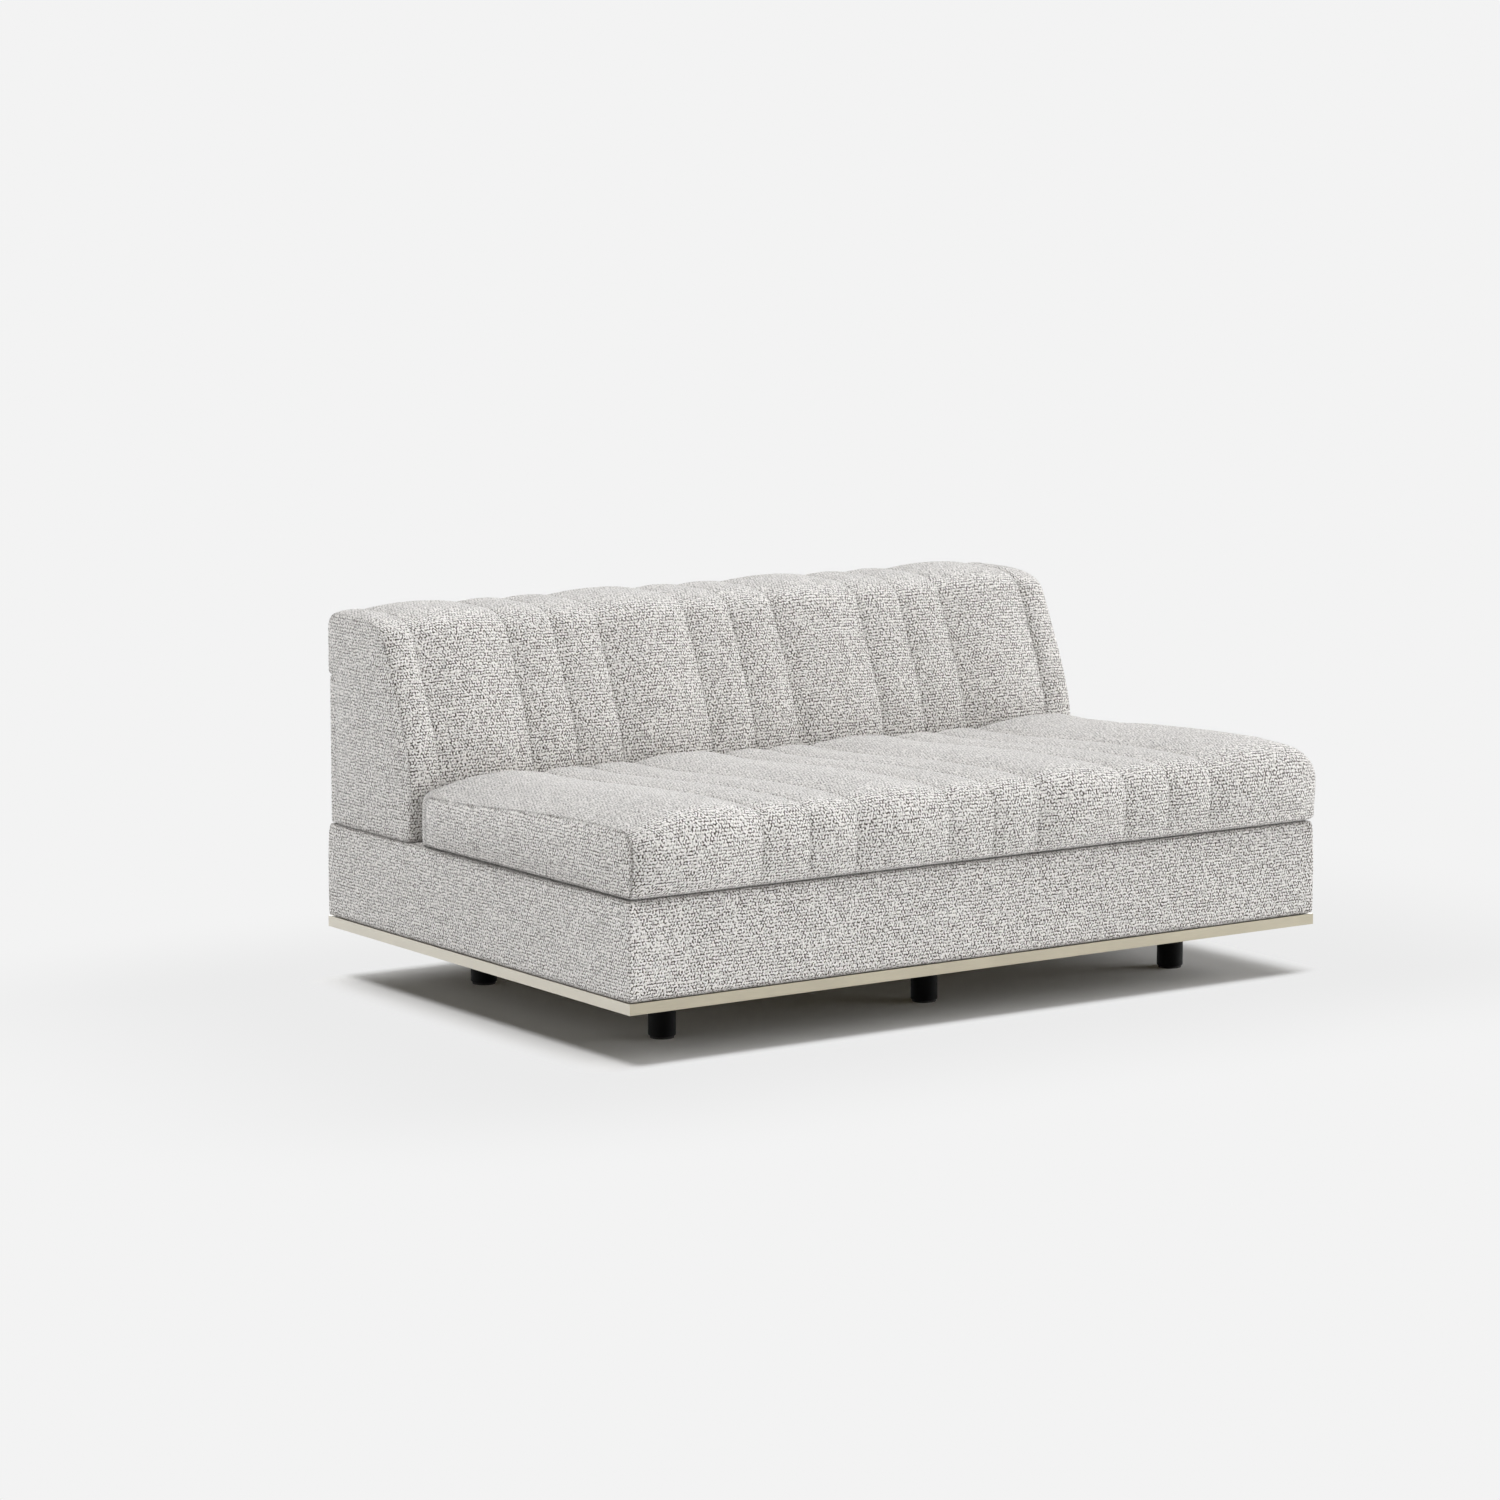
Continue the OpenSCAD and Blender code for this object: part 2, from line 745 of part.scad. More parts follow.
module back_top_rail() {
    color(TIMBER) along_x(-rib_x, rib_x) top_rail_profile();
}

module back_rear_rail() {
    color(TIMBER) along_x(-rib_x, rib_x) rear_rail_profile();
}

rib_lean = atan2(rib_head[0] - rib_foot[0], rib_head[1] - rib_foot[1]);
back_strap_n = floor((rib_x - strap_w) / strap_pitch);

module back_webbing() {
    color(STRAP) for (i = [-back_strap_n : back_strap_n])
        translate([i * strap_pitch - strap_w / 2, rib_foot[0], rib_foot[1]]) rotate([-rib_lean, 0, 0])
            translate([0, -strap_t, 0]) cube([strap_w, strap_t, norm(rib_head - rib_foot)]);
}

// Soft parts of the backrest
module rib_zone() {
    relief = strap_t / cos(rib_lean) + soft_gap;
    polygon([
        rib_foot - [relief, 1], rib_head + [-relief, soft_gap],
        [rib_rear + soft_gap, rib_top + soft_gap], [rib_rear + soft_gap, board_z - 1]
    ]);
}

module back_foam() {
    color(FOAM) along_x(-rib_x, rib_x) difference() {
        polygon(concat(back_lining(soft_gap), [[rib_rear + soft_gap, lip_z], [rib_rear, board_z]]));
        rib_zone();
        square([half_d, board_z + soft_gap]);
    }
}

// How much of the crown a point of the outline takes: none at the foot, little at the rear
function back_weight(n, z) = max(0, min(1, (z - base_top) / crown_h)) * (n[0] > 0.5 ? 0.25 : 1);

function back_ring(x, lift) = let (
        near = min(1, (cover_x - abs(x)) / back_border),
        rise = back_rise * sin(90 * near)
    ) concat(
        [for (i = [0 : len(back_outline) - 1])
            let (n = outward(back_outline, i), p = back_outline[i])
            p + n * back_weight(n, p[1]) * (rise + lift)],
        reversed(back_lining(0))
    );

back_seams = [for (i = [0 : 5]) total(back_steps, i)];
back_right = concat(
    [for (i = [0 : 4]) each puffed(back_seams[i], back_seams[i + 1], 4, back_puff)],
    puffed(back_seams[5], cover_x, 2, back_puff / 2),
    [[cover_x, 0]]
);
back_stations = concat(mirrored([for (i = [1 : len(back_right) - 1]) back_right[i]]), back_right);

module back_cover() {
    color(BOUCLE) difference() {
        loft([for (s = back_stations) [s[0], back_ring(s[0], s[1])]]);
        span([-half_w, 0, 0], [half_w, half_d, base_top]);
    }
}

module back_side(x0) {
    notch = [[rib_rear, lip_z], [rib_rear, base_top]];
    color(BOUCLE) along_x(x0, x0 + side_pad_t) difference() {
        polygon(concat(back_path(16, 8, 8), notch));
        square([half_d, base_top]);
    }
}

module outer_back_panel() {
    edge = 4;
    z0 = base_top + 2;
    z1 = lip_z - 2;
    color(BOUCLE) along_x(-back_x, back_x) {
        translate([panel_front, z0]) square([panel_t - edge, z1 - z0]);
        translate([panel_front, z0 + edge]) square([panel_t, z1 - z0 - 2 * edge]);
        for (z = [z0 + edge, z1 - edge]) translate([panel_rear - edge, z]) circle(r = edge, $fn = 32);
    }
}

// Seat cushion
// How much of the crown a point takes: full on the top, a share on the front, none elsewhere
front_share = 0.3;
function seat_weight(n) = n[0] > 0 ? pow(max(0, n[1]), 3)
    : n[1] > 0 ? front_share + (1 - front_share) * n[1] * n[1]
    : front_share * (1 + n[1]);

function loop_outward(p, i) = let (m = len(p), d = unit(p[(i + 1) % m] - p[(i + m - 1) % m])) [-d[1], d[0]];

function corner_step(d) = d >= seat_corner_r ? 0
    : seat_corner_r - sqrt(seat_corner_r * seat_corner_r - pow(seat_corner_r - d, 2));

// How much of a rear corner's rounding a point takes, by how near it is to the rear
corner_reach = 2.5 * seat_corner_r;
function corner_share(y) = max(0, min(1, (y - seat_rear + corner_reach) / (corner_reach - seat_rear_r)));

function seat_ring(x, lift, shrink) = let (
        d = max(0, seat_x - abs(x)),
        rise = seat_rise * pow(sin(90 * min(1, d / seat_rise_run)), 2),
        step = corner_step(d)
    ) [for (i = [0 : len(seat_path) - 1])
        let (n = loop_outward(seat_path, i), p = seat_path[i])
        p + n * (seat_weight(n) * (rise + lift) - shrink) - [step * corner_share(p[0]), 0]];

seat_seams = [for (i = [0 : 4]) total(seat_steps, i)];
seat_right = concat(
    [for (i = [0 : 3]) each (seat_steps[i] > (channel_narrow + channel_wide) / 2
        ? puffed(seat_seams[i], seat_seams[i + 1], 6, seat_puff_wide)
        : puffed(seat_seams[i], seat_seams[i + 1], 4, seat_puff_narrow))],
    puffed(seat_seams[4], seat_x, 9, seat_puff_wide),
    [[seat_x, 0]]
);
seat_stations = concat(mirrored([for (i = [1 : len(seat_right) - 1]) seat_right[i]]), seat_right);

module seat_room(gap) {
    room_front = seat_front + seat_wall + gap;
    room_rear = seat_rear - seat_wall - gap;
    room_x = seat_x - seat_end_wall - gap;
    floor_z = seat_z + seat_wall / 2 + gap;
    along_x(-room_x, room_x) polygon([
        [room_front, floor_z],
        [room_front, seat_z + seat_edge_front - seat_wall - gap],
        [room_rear, seat_z + seat_edge_rear - seat_wall - gap],
        [room_rear, floor_z]
    ]);
}

module seat_foam() {
    color(FOAM) seat_room(soft_gap);
}

module seat_cover() {
    ends = seat_end_bulge;
    rings = concat(
        [[-seat_x - ends, seat_ring(-seat_x, 0, seat_foot_r * 0.8)]],
        [for (s = seat_stations) [s[0], seat_ring(s[0], s[1], 0)]],
        [[seat_x + ends, seat_ring(seat_x, 0, seat_foot_r * 0.8)]]
    );
    color(BOUCLE) difference() {
        loft(rings);
        seat_room(0);
        zip_slot();
    }
}

module zip_slot() {
    span([-zip_l / 2, seat_rear - seat_wall - 1, slot_mid_z - slot_h / 2],
        [zip_l / 2, seat_rear + 5, slot_mid_z + slot_h / 2]);
}

module zip_tape() {
    inner = slot_h / 2 - coil_r;
    color(FELT) {
        span([-zip_l / 2, tape_y, slot_mid_z - slot_h / 2], [zip_l / 2, tape_y + tape_t, slot_mid_z - coil_r]);
        span([-zip_l / 2, tape_y, slot_mid_z + coil_r], [zip_l / 2, tape_y + tape_t, slot_mid_z + slot_h / 2]);
    }
}

module zip_teeth() {
    color(STEEL) translate([-zip_l / 2, tape_y + tape_t / 2, slot_mid_z]) rotate([0, 90, 0])
        cylinder(r = coil_r, h = zip_l, $fn = 32);
}

// The slider is a saddle over the coil, at the closed end of the zip
module zip_slider() {
    x0 = zip_l / 2 - slider_l - 4;
    roof_y = tape_y + tape_t / 2 + coil_r + slider_gap;
    leg_y = tape_y + tape_t + slider_gap;
    color(STEEL) along_x(x0, x0 + slider_l) {
        translate([roof_y, slot_mid_z - slider_w / 2]) square([slider_wall, slider_w]);
        for (side = [-1, 1])
            translate([leg_y, slot_mid_z + side * (slider_w / 2 - slider_wall / 2) - slider_wall / 2])
                square([roof_y - leg_y + slider_wall, slider_wall]);
    }
}

foot(foot_x[0], foot_y_front);  // foot_front_left
foot(foot_x[1], foot_y_front);  // foot_front_middle
foot(foot_x[2], foot_y_front);  // foot_front_right
foot(foot_x[0], foot_y_rear);  // foot_rear_left
foot(foot_x[1], foot_y_rear);  // foot_rear_middle
foot(foot_x[2], foot_y_rear);  // foot_rear_right
foot_glides();
foot_studs();
foot_tnuts();
plinth_bar_front();
plinth_bar_rear();
plinth_bar_left();
plinth_bar_right();
plinth_screws();
rail_front();
rail_rear();
rail_left();
rail_right();
rail_centre();
rail_backrest();
foot_board(foot_y_front);  // foot_board_front
foot_board(foot_y_rear);  // foot_board_rear
corner_blocks();
frame_screws();
link_inserts();
backrest_shelf();
webbing_lengthwise();
webbing_crosswise();
deck_pad();
deck_cover();
band_front();
band_rear();
band_left();
band_right();
dust_cover();
back_bottom_board();
back_rib(-rib_x);  // back_rib_left
back_rib(-rib_mid);  // back_rib_mid_left
back_rib(rib_mid - rib_t);  // back_rib_mid_right
back_rib(rib_x - rib_t);  // back_rib_right
back_top_rail();
back_rear_rail();
back_webbing();
back_foam();
back_cover();
back_side(-back_x);  // back_side_left
back_side(back_x - side_pad_t);  // back_side_right
outer_back_panel();
back_bolts();
back_tnuts();
seat_foam();
seat_cover();
zip_tape();
zip_teeth();
zip_slider();
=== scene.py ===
"""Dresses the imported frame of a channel-tufted sofa module: padded covers, weave, metal, light and camera."""
import logging
import math
from dataclasses import dataclass, field
from enum import Enum
from typing import Sequence, Union

import bmesh
import bpy
import numpy as np
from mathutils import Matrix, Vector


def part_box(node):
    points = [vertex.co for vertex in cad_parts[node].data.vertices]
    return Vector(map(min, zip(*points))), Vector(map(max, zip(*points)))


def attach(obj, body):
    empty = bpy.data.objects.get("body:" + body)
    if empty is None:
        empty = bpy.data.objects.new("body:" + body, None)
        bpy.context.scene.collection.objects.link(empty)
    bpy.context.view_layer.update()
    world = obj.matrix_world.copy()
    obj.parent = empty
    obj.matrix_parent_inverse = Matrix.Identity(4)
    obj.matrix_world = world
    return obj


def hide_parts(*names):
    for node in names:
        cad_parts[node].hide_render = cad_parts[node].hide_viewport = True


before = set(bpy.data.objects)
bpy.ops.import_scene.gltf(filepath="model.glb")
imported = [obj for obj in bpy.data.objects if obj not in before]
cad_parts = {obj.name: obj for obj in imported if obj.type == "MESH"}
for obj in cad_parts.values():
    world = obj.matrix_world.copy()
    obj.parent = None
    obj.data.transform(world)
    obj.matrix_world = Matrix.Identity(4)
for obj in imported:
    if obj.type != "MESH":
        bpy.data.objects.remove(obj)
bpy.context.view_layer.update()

LOG = logging.getLogger("sofa")
UV_NAME = "cloth"
# Point attribute that darkens the weave: real seam lines, plus painted shade along hems and joints.
SEAM_AND_SHADE_NAME = "seam"
Colour = tuple[float, float, float]
Socket = bpy.types.NodeSocket
Value = Union[Socket, float, tuple]


class Body(Enum):
    """The moving bodies that a piece can ride on."""

    BASE = "base"
    CUSHION = "seat_cushion"
    ZIP_PULL = "zip_pull"


def plain(srgb: Sequence[int]) -> Colour:
    """Turns a colour of 0 to 255 into the linear values that a shader takes."""
    steps = [c / 255 for c in srgb]
    return tuple(c / 12.92 if c <= 0.04045 else ((c + 0.055) / 1.055) ** 2.4 for c in steps)


def placed(name: str, data: bpy.types.ID) -> bpy.types.Object:
    """Makes an object and puts it in the scene.

    Args:
        name: the object's name.
        data: its mesh, lamp or lens.

    Returns:
        The new object.
    """
    obj = bpy.data.objects.new(name, data)
    bpy.context.scene.collection.objects.link(obj)
    return obj


class Weaver:
    """Adds shader nodes to a tree and joins them as it goes."""

    def __init__(self, owner: bpy.types.ID, output: str = "OutputMaterial",
                 shader: str = "BsdfPrincipled") -> None:
        """Empties the owner's tree, and gives it an output and a main shader.

        Args:
            owner: the material or the world whose tree is filled.
            output: the kind of its output.
            shader: the kind of its main shader.
        """
        owner.use_nodes = True
        self.tree = owner.node_tree
        self.tree.nodes.clear()
        self.out = self.add(output)
        self.shader = self.add(shader)
        self.join(self.shader.outputs[0], self.out.inputs["Surface"])

    def add(self, kind: str) -> bpy.types.Node:
        """Adds a shader node of a kind."""
        return self.tree.nodes.new(f"ShaderNode{kind}")

    def join(self, source: Socket, target: Socket) -> None:
        """Links two sockets."""
        self.tree.links.new(source, target)

    def feed(self, target: Socket, value: Value) -> None:
        """Gives a socket either a link or a plain value.

        Args:
            target: the socket that takes it.
            value: a socket, a number or a tuple.
        """
        if isinstance(value, Socket):
            self.join(value, target)
        elif isinstance(value, tuple) and target.type == "RGBA" and len(value) == 3:
            target.default_value = (*value, 1.0)
        else:
            target.default_value = value

    def sum(self, operation: str, a: Value, b: Value = 0.0, c: Value = 0.0) -> Socket:
        """Adds a math node.

        Args:
            operation: the name of the operation.
            a: the first value or socket.
            b: the second value or socket.
            c: the third value or socket.

        Returns:
            The node's result.
        """
        node = self.add("Math")
        node.operation = operation
        for target, value in zip(node.inputs, (a, b, c)):
            self.feed(target, value)
        return node.outputs[0]

    def blend(self, share: Value, a: Value, b: Value) -> Socket:
        """Mixes two colours.

        Args:
            share: how much of the second shows.
            a: the first colour.
            b: the second colour.

        Returns:
            The mixed colour.
        """
        node = self.add("Mix")
        node.data_type = "RGBA"
        for name, value in ((0, share), (6, a), (7, b)):
            self.feed(node.inputs[name], value)
        return node.outputs[2]

    def ramp(self, value: Value, low: float, high: float, out_low: float = 0.0, out_high: float = 1.0,
             kind: str = "SMOOTHSTEP") -> Socket:
        """Maps a value from one range to another, easing in and out unless told otherwise.

        Args:
            value: the socket that is mapped.
            low: where the range starts.
            high: where the range ends.
            out_low: the result at the start.
            out_high: the result at the end.
            kind: how it goes from one to the other.

        Returns:
            The mapped value.
        """
        node = self.add("MapRange")
        node.interpolation_type = kind
        for target, given in zip(node.inputs, (value, low, high, out_low, out_high)):
            self.feed(target, given)
        return node.outputs[0]

    def place(self, uv: bool = False) -> Socket:
        """Gives the piece's own coordinates, or its cloth map.

        Args:
            uv: whether the cloth map is wanted.

        Returns:
            The coordinates.
        """
        if uv:
            node = self.add("UVMap")
            node.uv_map = UV_NAME
            return node.outputs[0]
        return self.add("TexCoord").outputs["Object"]

    def given(self, name: str) -> Socket:
        """Gives a number that the piece carries at each of its points.

        Args:
            name: the number's name.

        Returns:
            The number.
        """
        node = self.add("Attribute")
        node.attribute_name = name
        return node.outputs["Fac"]

    def stretch(self, vector: Socket, scale: tuple[float, float, float]) -> Socket:
        """Scales coordinates, so that a pattern is longer one way than the other.

        Args:
            vector: the coordinates.
            scale: how much they grow along each axis.

        Returns:
            The scaled coordinates.
        """
        node = self.add("Mapping")
        node.inputs["Scale"].default_value = scale
        self.join(vector, node.inputs["Vector"])
        return node.outputs[0]

    def noise(self, vector: Socket, scale: float, detail: float = 2.0,
              rough: float = 0.5) -> tuple[Socket, Socket]:
        """Adds a noise pattern.

        Args:
            vector: the coordinates.
            scale: how many features there are to the metre.
            detail: how many finer layers it has.
            rough: how strong the finer layers are.

        Returns:
            The noise value and its three-way colour.
        """
        node = self.add("TexNoise")
        self.join(vector, node.inputs["Vector"])
        node.inputs["Scale"].default_value = scale
        node.inputs["Detail"].default_value = detail
        node.inputs["Roughness"].default_value = rough
        return node.outputs[0], node.outputs[1]

    def split(self, vector: Socket) -> tuple[Socket, ...]:
        """Splits a vector.

        Args:
            vector: the vector.

        Returns:
            Its three parts.
        """
        node = self.add("SeparateXYZ")
        self.join(vector, node.inputs[0])
        return tuple(node.outputs)

    def gather(self, x: Value, y: Value, z: Value = 0.0) -> Socket:
        """Makes a vector.

        Args:
            x: its first part.
            y: its second part.
            z: its third part.

        Returns:
            The vector.
        """
        node = self.add("CombineXYZ")
        for target, value in zip(node.inputs, (x, y, z)):
            self.feed(target, value)
        return node.outputs[0]

    def slant(self) -> Socket:
        """Gives how far the surface turns from the eye, from 0 to 1."""
        return self.add("LayerWeight").outputs["Facing"]

    def chance(self, vector: Socket) -> Socket:
        """Gives a fixed random number for each cell of a pattern.

        Args:
            vector: the cell's numbers.

        Returns:
            The random number, from 0 to 1.
        """
        node = self.add("TexWhiteNoise")
        node.noise_dimensions = "3D"
        self.join(vector, node.inputs["Vector"])
        return node.outputs[0]

    def bump(self, height: Socket, distance: float, strength: float = 1.0) -> None:
        """Turns a height into relief on the main shader.

        Args:
            height: the height pattern.
            distance: how deep the relief is, in metres.
            strength: how much of it shows.
        """
        node = self.add("Bump")
        node.inputs["Strength"].default_value = strength
        node.inputs["Distance"].default_value = distance
        self.join(height, node.inputs["Height"])
        self.join(node.outputs[0], self.shader.inputs["Normal"])

    def surface(self, colour: Value, rough: Value, metal: float = 0.0, **others: Value) -> None:
        """Sets the main shader.

        Args:
            colour: the base colour.
            rough: the roughness.
            metal: 1 for bare metal, 0 for anything else.
            **others: other sockets of the shader, with a space written as an underscore.
        """
        self.feed(self.shader.inputs["Base Color"], colour)
        self.feed(self.shader.inputs["Roughness"], rough)
        self.shader.inputs["Metallic"].default_value = metal
        for name, value in others.items():
            self.feed(self.shader.inputs[name.replace("_", " ")], value)


@dataclass(frozen=True)
class Finish:
    """A finish, made once as a material and shared by all pieces that wear it."""

    slot: str
    tone: Colour

    def material(self) -> bpy.types.Material:
        """Makes the material on first use.

        Returns:
            The material.
        """
        name = f"{type(self).__name__.lower()}_{self.slot}"
        found = bpy.data.materials.get(name)
        if found is None:
            found = bpy.data.materials.new(name)
            self.weave(Weaver(found))
            found.diffuse_color = (*self.tone, 1.0)
        return found

    def weave(self, w: Weaver) -> None:
        """Fills the material's tree; each kind of finish has its own."""
        raise NotImplementedError


@dataclass(frozen=True)
class Boucle(Finish):
    """Thick plain weave of uneven, loopy yarn, whose cross rows stand out between gaps painted dark as shade.
    """

    warp_pitch: float = 0.0030
    weft_pitch: float = 0.0056
    wander: float = 0.0042
    jitter: float = 0.0019
    depth: float = 0.0012
    roundness: float = 3.6
    loop_scale: tuple[float, float, float] = (318.0, 300.0, 318.0)
    loop_height: float = 2.5
    knot_tones: tuple[float, float] = (0.73, 1.27)
    # Colour in the gaps between yarns, as a share of the tone: painted shade in the gaps.
    gap_colour: tuple[float, float, float] = (0.045, 0.03, 0.015)
    # How much the seam attribute darkens the weave, for seams and for painted shade along hems and joints.
    seam_dark: float = 0.5

    def weave(self, w: Weaver) -> None:
        """Builds the over-and-under yarns from the cloth map.

        Args:
            w: the maker of the tree's nodes.
        """
        uv = w.place(uv=True)
        _, drift = w.noise(uv, 55.0, 0.0)
        jitter, _ = w.noise(uv, 210.0, 0.0)
        drift_u, drift_v, _ = w.split(drift)
        u, v, _ = w.split(uv)

        def lay(across: Socket, drifted: Socket, pitch: float) -> tuple[Socket, ...]:
            """Counts the yarns along one way, and says how far each place is from its yarn's middle."""
            moved = w.sum("MULTIPLY_ADD", w.sum("SUBTRACT", drifted, 0.5), self.wander, across)
            counted = w.sum("DIVIDE", moved, pitch)
            whole = w.sum("FLOOR", counted)
            return counted, whole, w.sum("SUBTRACT", w.sum("SUBTRACT", counted, whole), 0.5)

        v = w.sum("MULTIPLY_ADD", w.sum("SUBTRACT", jitter, 0.5), self.jitter, v)
        warp, warp_n, warp_at = lay(u, drift_u, self.warp_pitch)
        weft, weft_n, weft_at = lay(v, drift_v, self.weft_pitch)

        def round_back(at: Socket) -> Socket:
            """Gives the round back of a yarn: 1 along its middle and 0 at its edges."""
            return w.sum("SUBTRACT", 1.0, w.sum("MULTIPLY", w.sum("MULTIPLY", at, at), self.roundness))

        over = w.sum("SINE", w.sum("MULTIPLY", w.sum("ADD", warp, weft_n), math.pi))
        under = w.sum("SINE", w.sum("MULTIPLY", w.sum("ADD", weft, warp_n), math.pi))
        lift = w.chance(w.gather(warp_n, weft_n, 7.0))
        weft_h = w.sum("MULTIPLY_ADD", over, 0.5, round_back(weft_at))
        warp_h = w.sum("MULTIPLY_ADD", under, -0.35, w.sum("MULTIPLY", round_back(warp_at), 0.8))
        warp_h = w.sum("MULTIPLY_ADD", lift, 0.8, w.sum("SUBTRACT", warp_h, 0.75))
        loops, _ = w.noise(w.stretch(uv, self.loop_scale), 1.0, 0.0)
        upper = w.sum("MAXIMUM", weft_h, warp_h)
        height = w.sum("MULTIPLY_ADD", w.sum("SUBTRACT", loops, 0.5), self.loop_height, upper)

        # Colour darkens from the yarn tops down into the gaps between yarns: painted shade in the gaps.
        lit = w.ramp(height, 0.22, 0.90)
        low, high = self.knot_tones
        each = w.sum("MULTIPLY_ADD", w.chance(w.gather(warp_n, weft_n, 11.0)), high - low, low)
        broad, _ = w.noise(uv, 9.0, 2.0)
        shade = w.sum("MULTIPLY", w.sum("MULTIPLY", lit, each), w.ramp(broad, 0.25, 0.75, 0.98, 1.02))
        # Darkening by the seam attribute, for seams and for painted shade along hems and joints.
        sewn = w.sum("SUBTRACT", 1.0, w.sum("MULTIPLY", w.given(SEAM_AND_SHADE_NAME), self.seam_dark))
        # The dark colour below is painted shade in the gaps between yarns.
        dark = tuple(c * share for c, share in zip(self.tone, self.gap_colour))
        colour = w.blend(w.sum("MULTIPLY", w.sum("MINIMUM", shade, 1.3), sewn), dark, self.tone)
        w.surface(colour, 0.92, Sheen_Weight=0.7, Sheen_Roughness=0.45, Specular_IOR_Level=0.2)
        w.bump(height, self.depth, 0.5)


@dataclass(frozen=True)
class Brushed(Finish):
    """Satin metal with fine lines along it, a little cloud in its sheen and a clear coat seen at a slant."""

    rough: float = 0.34
    lines: tuple[float, float, float] = (40.0, 40.0, 2600.0)
    coat_ior: float = 2.7
    relief: float = 0.00004

    def weave(self, w: Weaver) -> None:
        """Builds the lines and the cloud from the piece's own coordinates.

        Args:
            w: the maker of the tree's nodes.
        """
        at = w.place()
        line, _ = w.noise(w.stretch(at, self.lines), 1.0, 3.0, 0.6)
        cloud, _ = w.noise(at, 14.0, 3.0)
        dark = tuple(c * 0.90 for c in self.tone)
        w.surface(
            w.blend(w.ramp(line, 0.3, 0.7), dark, self.tone),
            w.ramp(cloud, 0.3, 0.7, self.rough - 0.05, self.rough + 0.06), 1.0,
            Coat_Weight=w.ramp(w.slant(), 0.24, 0.42), Coat_IOR=self.coat_ior, Coat_Roughness=0.3,
        )
        w.bump(line, self.relief, 0.5)


@dataclass(frozen=True)
class Coated(Finish):
    """Fine-grained coating, as on the feet, paler on the tops of its grain."""

    rough: float = 0.42
    grain: float = 1400.0
    relief: float = 0.00006
    shine: float = 0.5

    def weave(self, w: Weaver) -> None:
        """Builds the grain and its cloud from the piece's own coordinates.

        Args:
            w: the maker of the tree's nodes.
        """
        at = w.place()
        grain, _ = w.noise(at, self.grain, 2.0)
        cloud, _ = w.noise(at, 25.0, 3.0)
        pale = tuple(c * 1.35 + 0.004 for c in self.tone)
        w.surface(
            w.blend(w.ramp(grain, 0.35, 0.8), self.tone, pale),
            w.ramp(cloud, 0.3, 0.7, self.rough - 0.06, self.rough + 0.08),
            Specular_IOR_Level=self.shine,
        )
        w.bump(grain, self.relief, 0.6)


@dataclass(frozen=True)
class Timber(Finish):
    """Planed softwood or plywood, with grain along the longer way of the pattern."""

    rings: tuple[float, float, float] = (3.0, 30.0, 60.0)
    dark_share: float = 0.62
    pore_share: float = 12.0
    relief: float = 0.0002

    def weave(self, w: Weaver) -> None:
        """Builds the grain bands and pores from the piece's own coordinates.

        Args:
            w: the maker of the tree's nodes.
        """
        at = w.place()
        band, _ = w.noise(w.stretch(at, self.rings), 1.0, 4.0, 0.55)
        pores, _ = w.noise(w.stretch(at, tuple(r * self.pore_share for r in self.rings)), 1.0, 2.0)
        dark = tuple(c * self.dark_share for c in self.tone)
        grain = w.sum("MULTIPLY_ADD", pores, 0.3, w.sum("MULTIPLY", band, 0.8))
        w.surface(w.blend(w.ramp(grain, 0.35, 0.75), self.tone, dark), 0.68)
        w.bump(pores, self.relief, 0.35)


@dataclass(frozen=True)
class Cloth(Finish):
    """Fine technical cloth: webbing, dust cloth, felt or zip tape."""

    pitch: float = 0.0016
    relief: float = 0.0003

    def weave(self, w: Weaver) -> None:
        """Builds a fine rib and its fibres from the piece's own coordinates.

        Args:
            w: the maker of the tree's nodes.
        """
        at = w.place()
        x, y, z = w.split(at)
        turn = 2 * math.pi / self.pitch
        rib = w.sum("MULTIPLY", w.sum("SINE", w.sum("MULTIPLY", w.sum("ADD", x, z), turn)),
                    w.sum("SINE", w.sum("MULTIPLY", y, turn)))
        fibre, _ = w.noise(at, 900.0, 2.0)
        height = w.sum("MULTIPLY_ADD", rib, 0.25, fibre)
        dark = tuple(c * 0.72 for c in self.tone)
        w.surface(w.blend(w.ramp(height, 0.2, 0.9), dark, self.tone), 0.9, Sheen_Weight=0.1)
        w.bump(height, self.relief, 0.6)


BOUCLE = Boucle("boucle", plain((245, 242, 239)))
CHAMPAGNE = Brushed("plinth", plain((187, 180, 161)))
BLACK_FOOT = Coated("foot", plain((4, 4, 4)), 0.62, shine=0.12)
GLIDE_FELT = Cloth("glide", plain((44, 42, 40)), 0.002, 0.0006)
SOFTWOOD = Timber("timber", plain((208, 172, 122)))
PLYWOOD = Timber("plywood", plain((214, 184, 140)), (6.0, 14.0, 160.0), 0.72)
WEBBING = Cloth("webbing", plain((108, 84, 66)), 0.0022, 0.0005)
DUST_CLOTH = Cloth("dust_cloth", plain((34, 33, 34)), 0.0012, 0.0002)
ZINC = Brushed("zinc", plain((176, 178, 180)), 0.42, (60.0, 60.0, 60.0))
ZIP_TAPE = Cloth("zip_tape", plain((176, 170, 162)), 0.0009, 0.0002)
ZIP_COIL = Coated("zip_coil", plain((168, 163, 156)), 0.35, 900.0)
ZIP_METAL = Brushed("zip_metal", plain((150, 150, 152)), 0.30, (300.0, 300.0, 300.0))


def resample(points: Sequence[Sequence[float]], count: int) -> np.ndarray:
    """Spreads points evenly along a line.

    Args:
        points: the line's points.
        count: how many points the result has, with both ends.

    Returns:
        The evenly spread points.
    """
    line = np.asarray(points, float)
    run = np.concatenate([[0.0], np.cumsum(np.linalg.norm(np.diff(line, axis=0), axis=1))])
    at = np.linspace(0, run[-1], count)
    return np.stack([np.interp(at, run, line[:, k]) for k in range(line.shape[1])], axis=1)


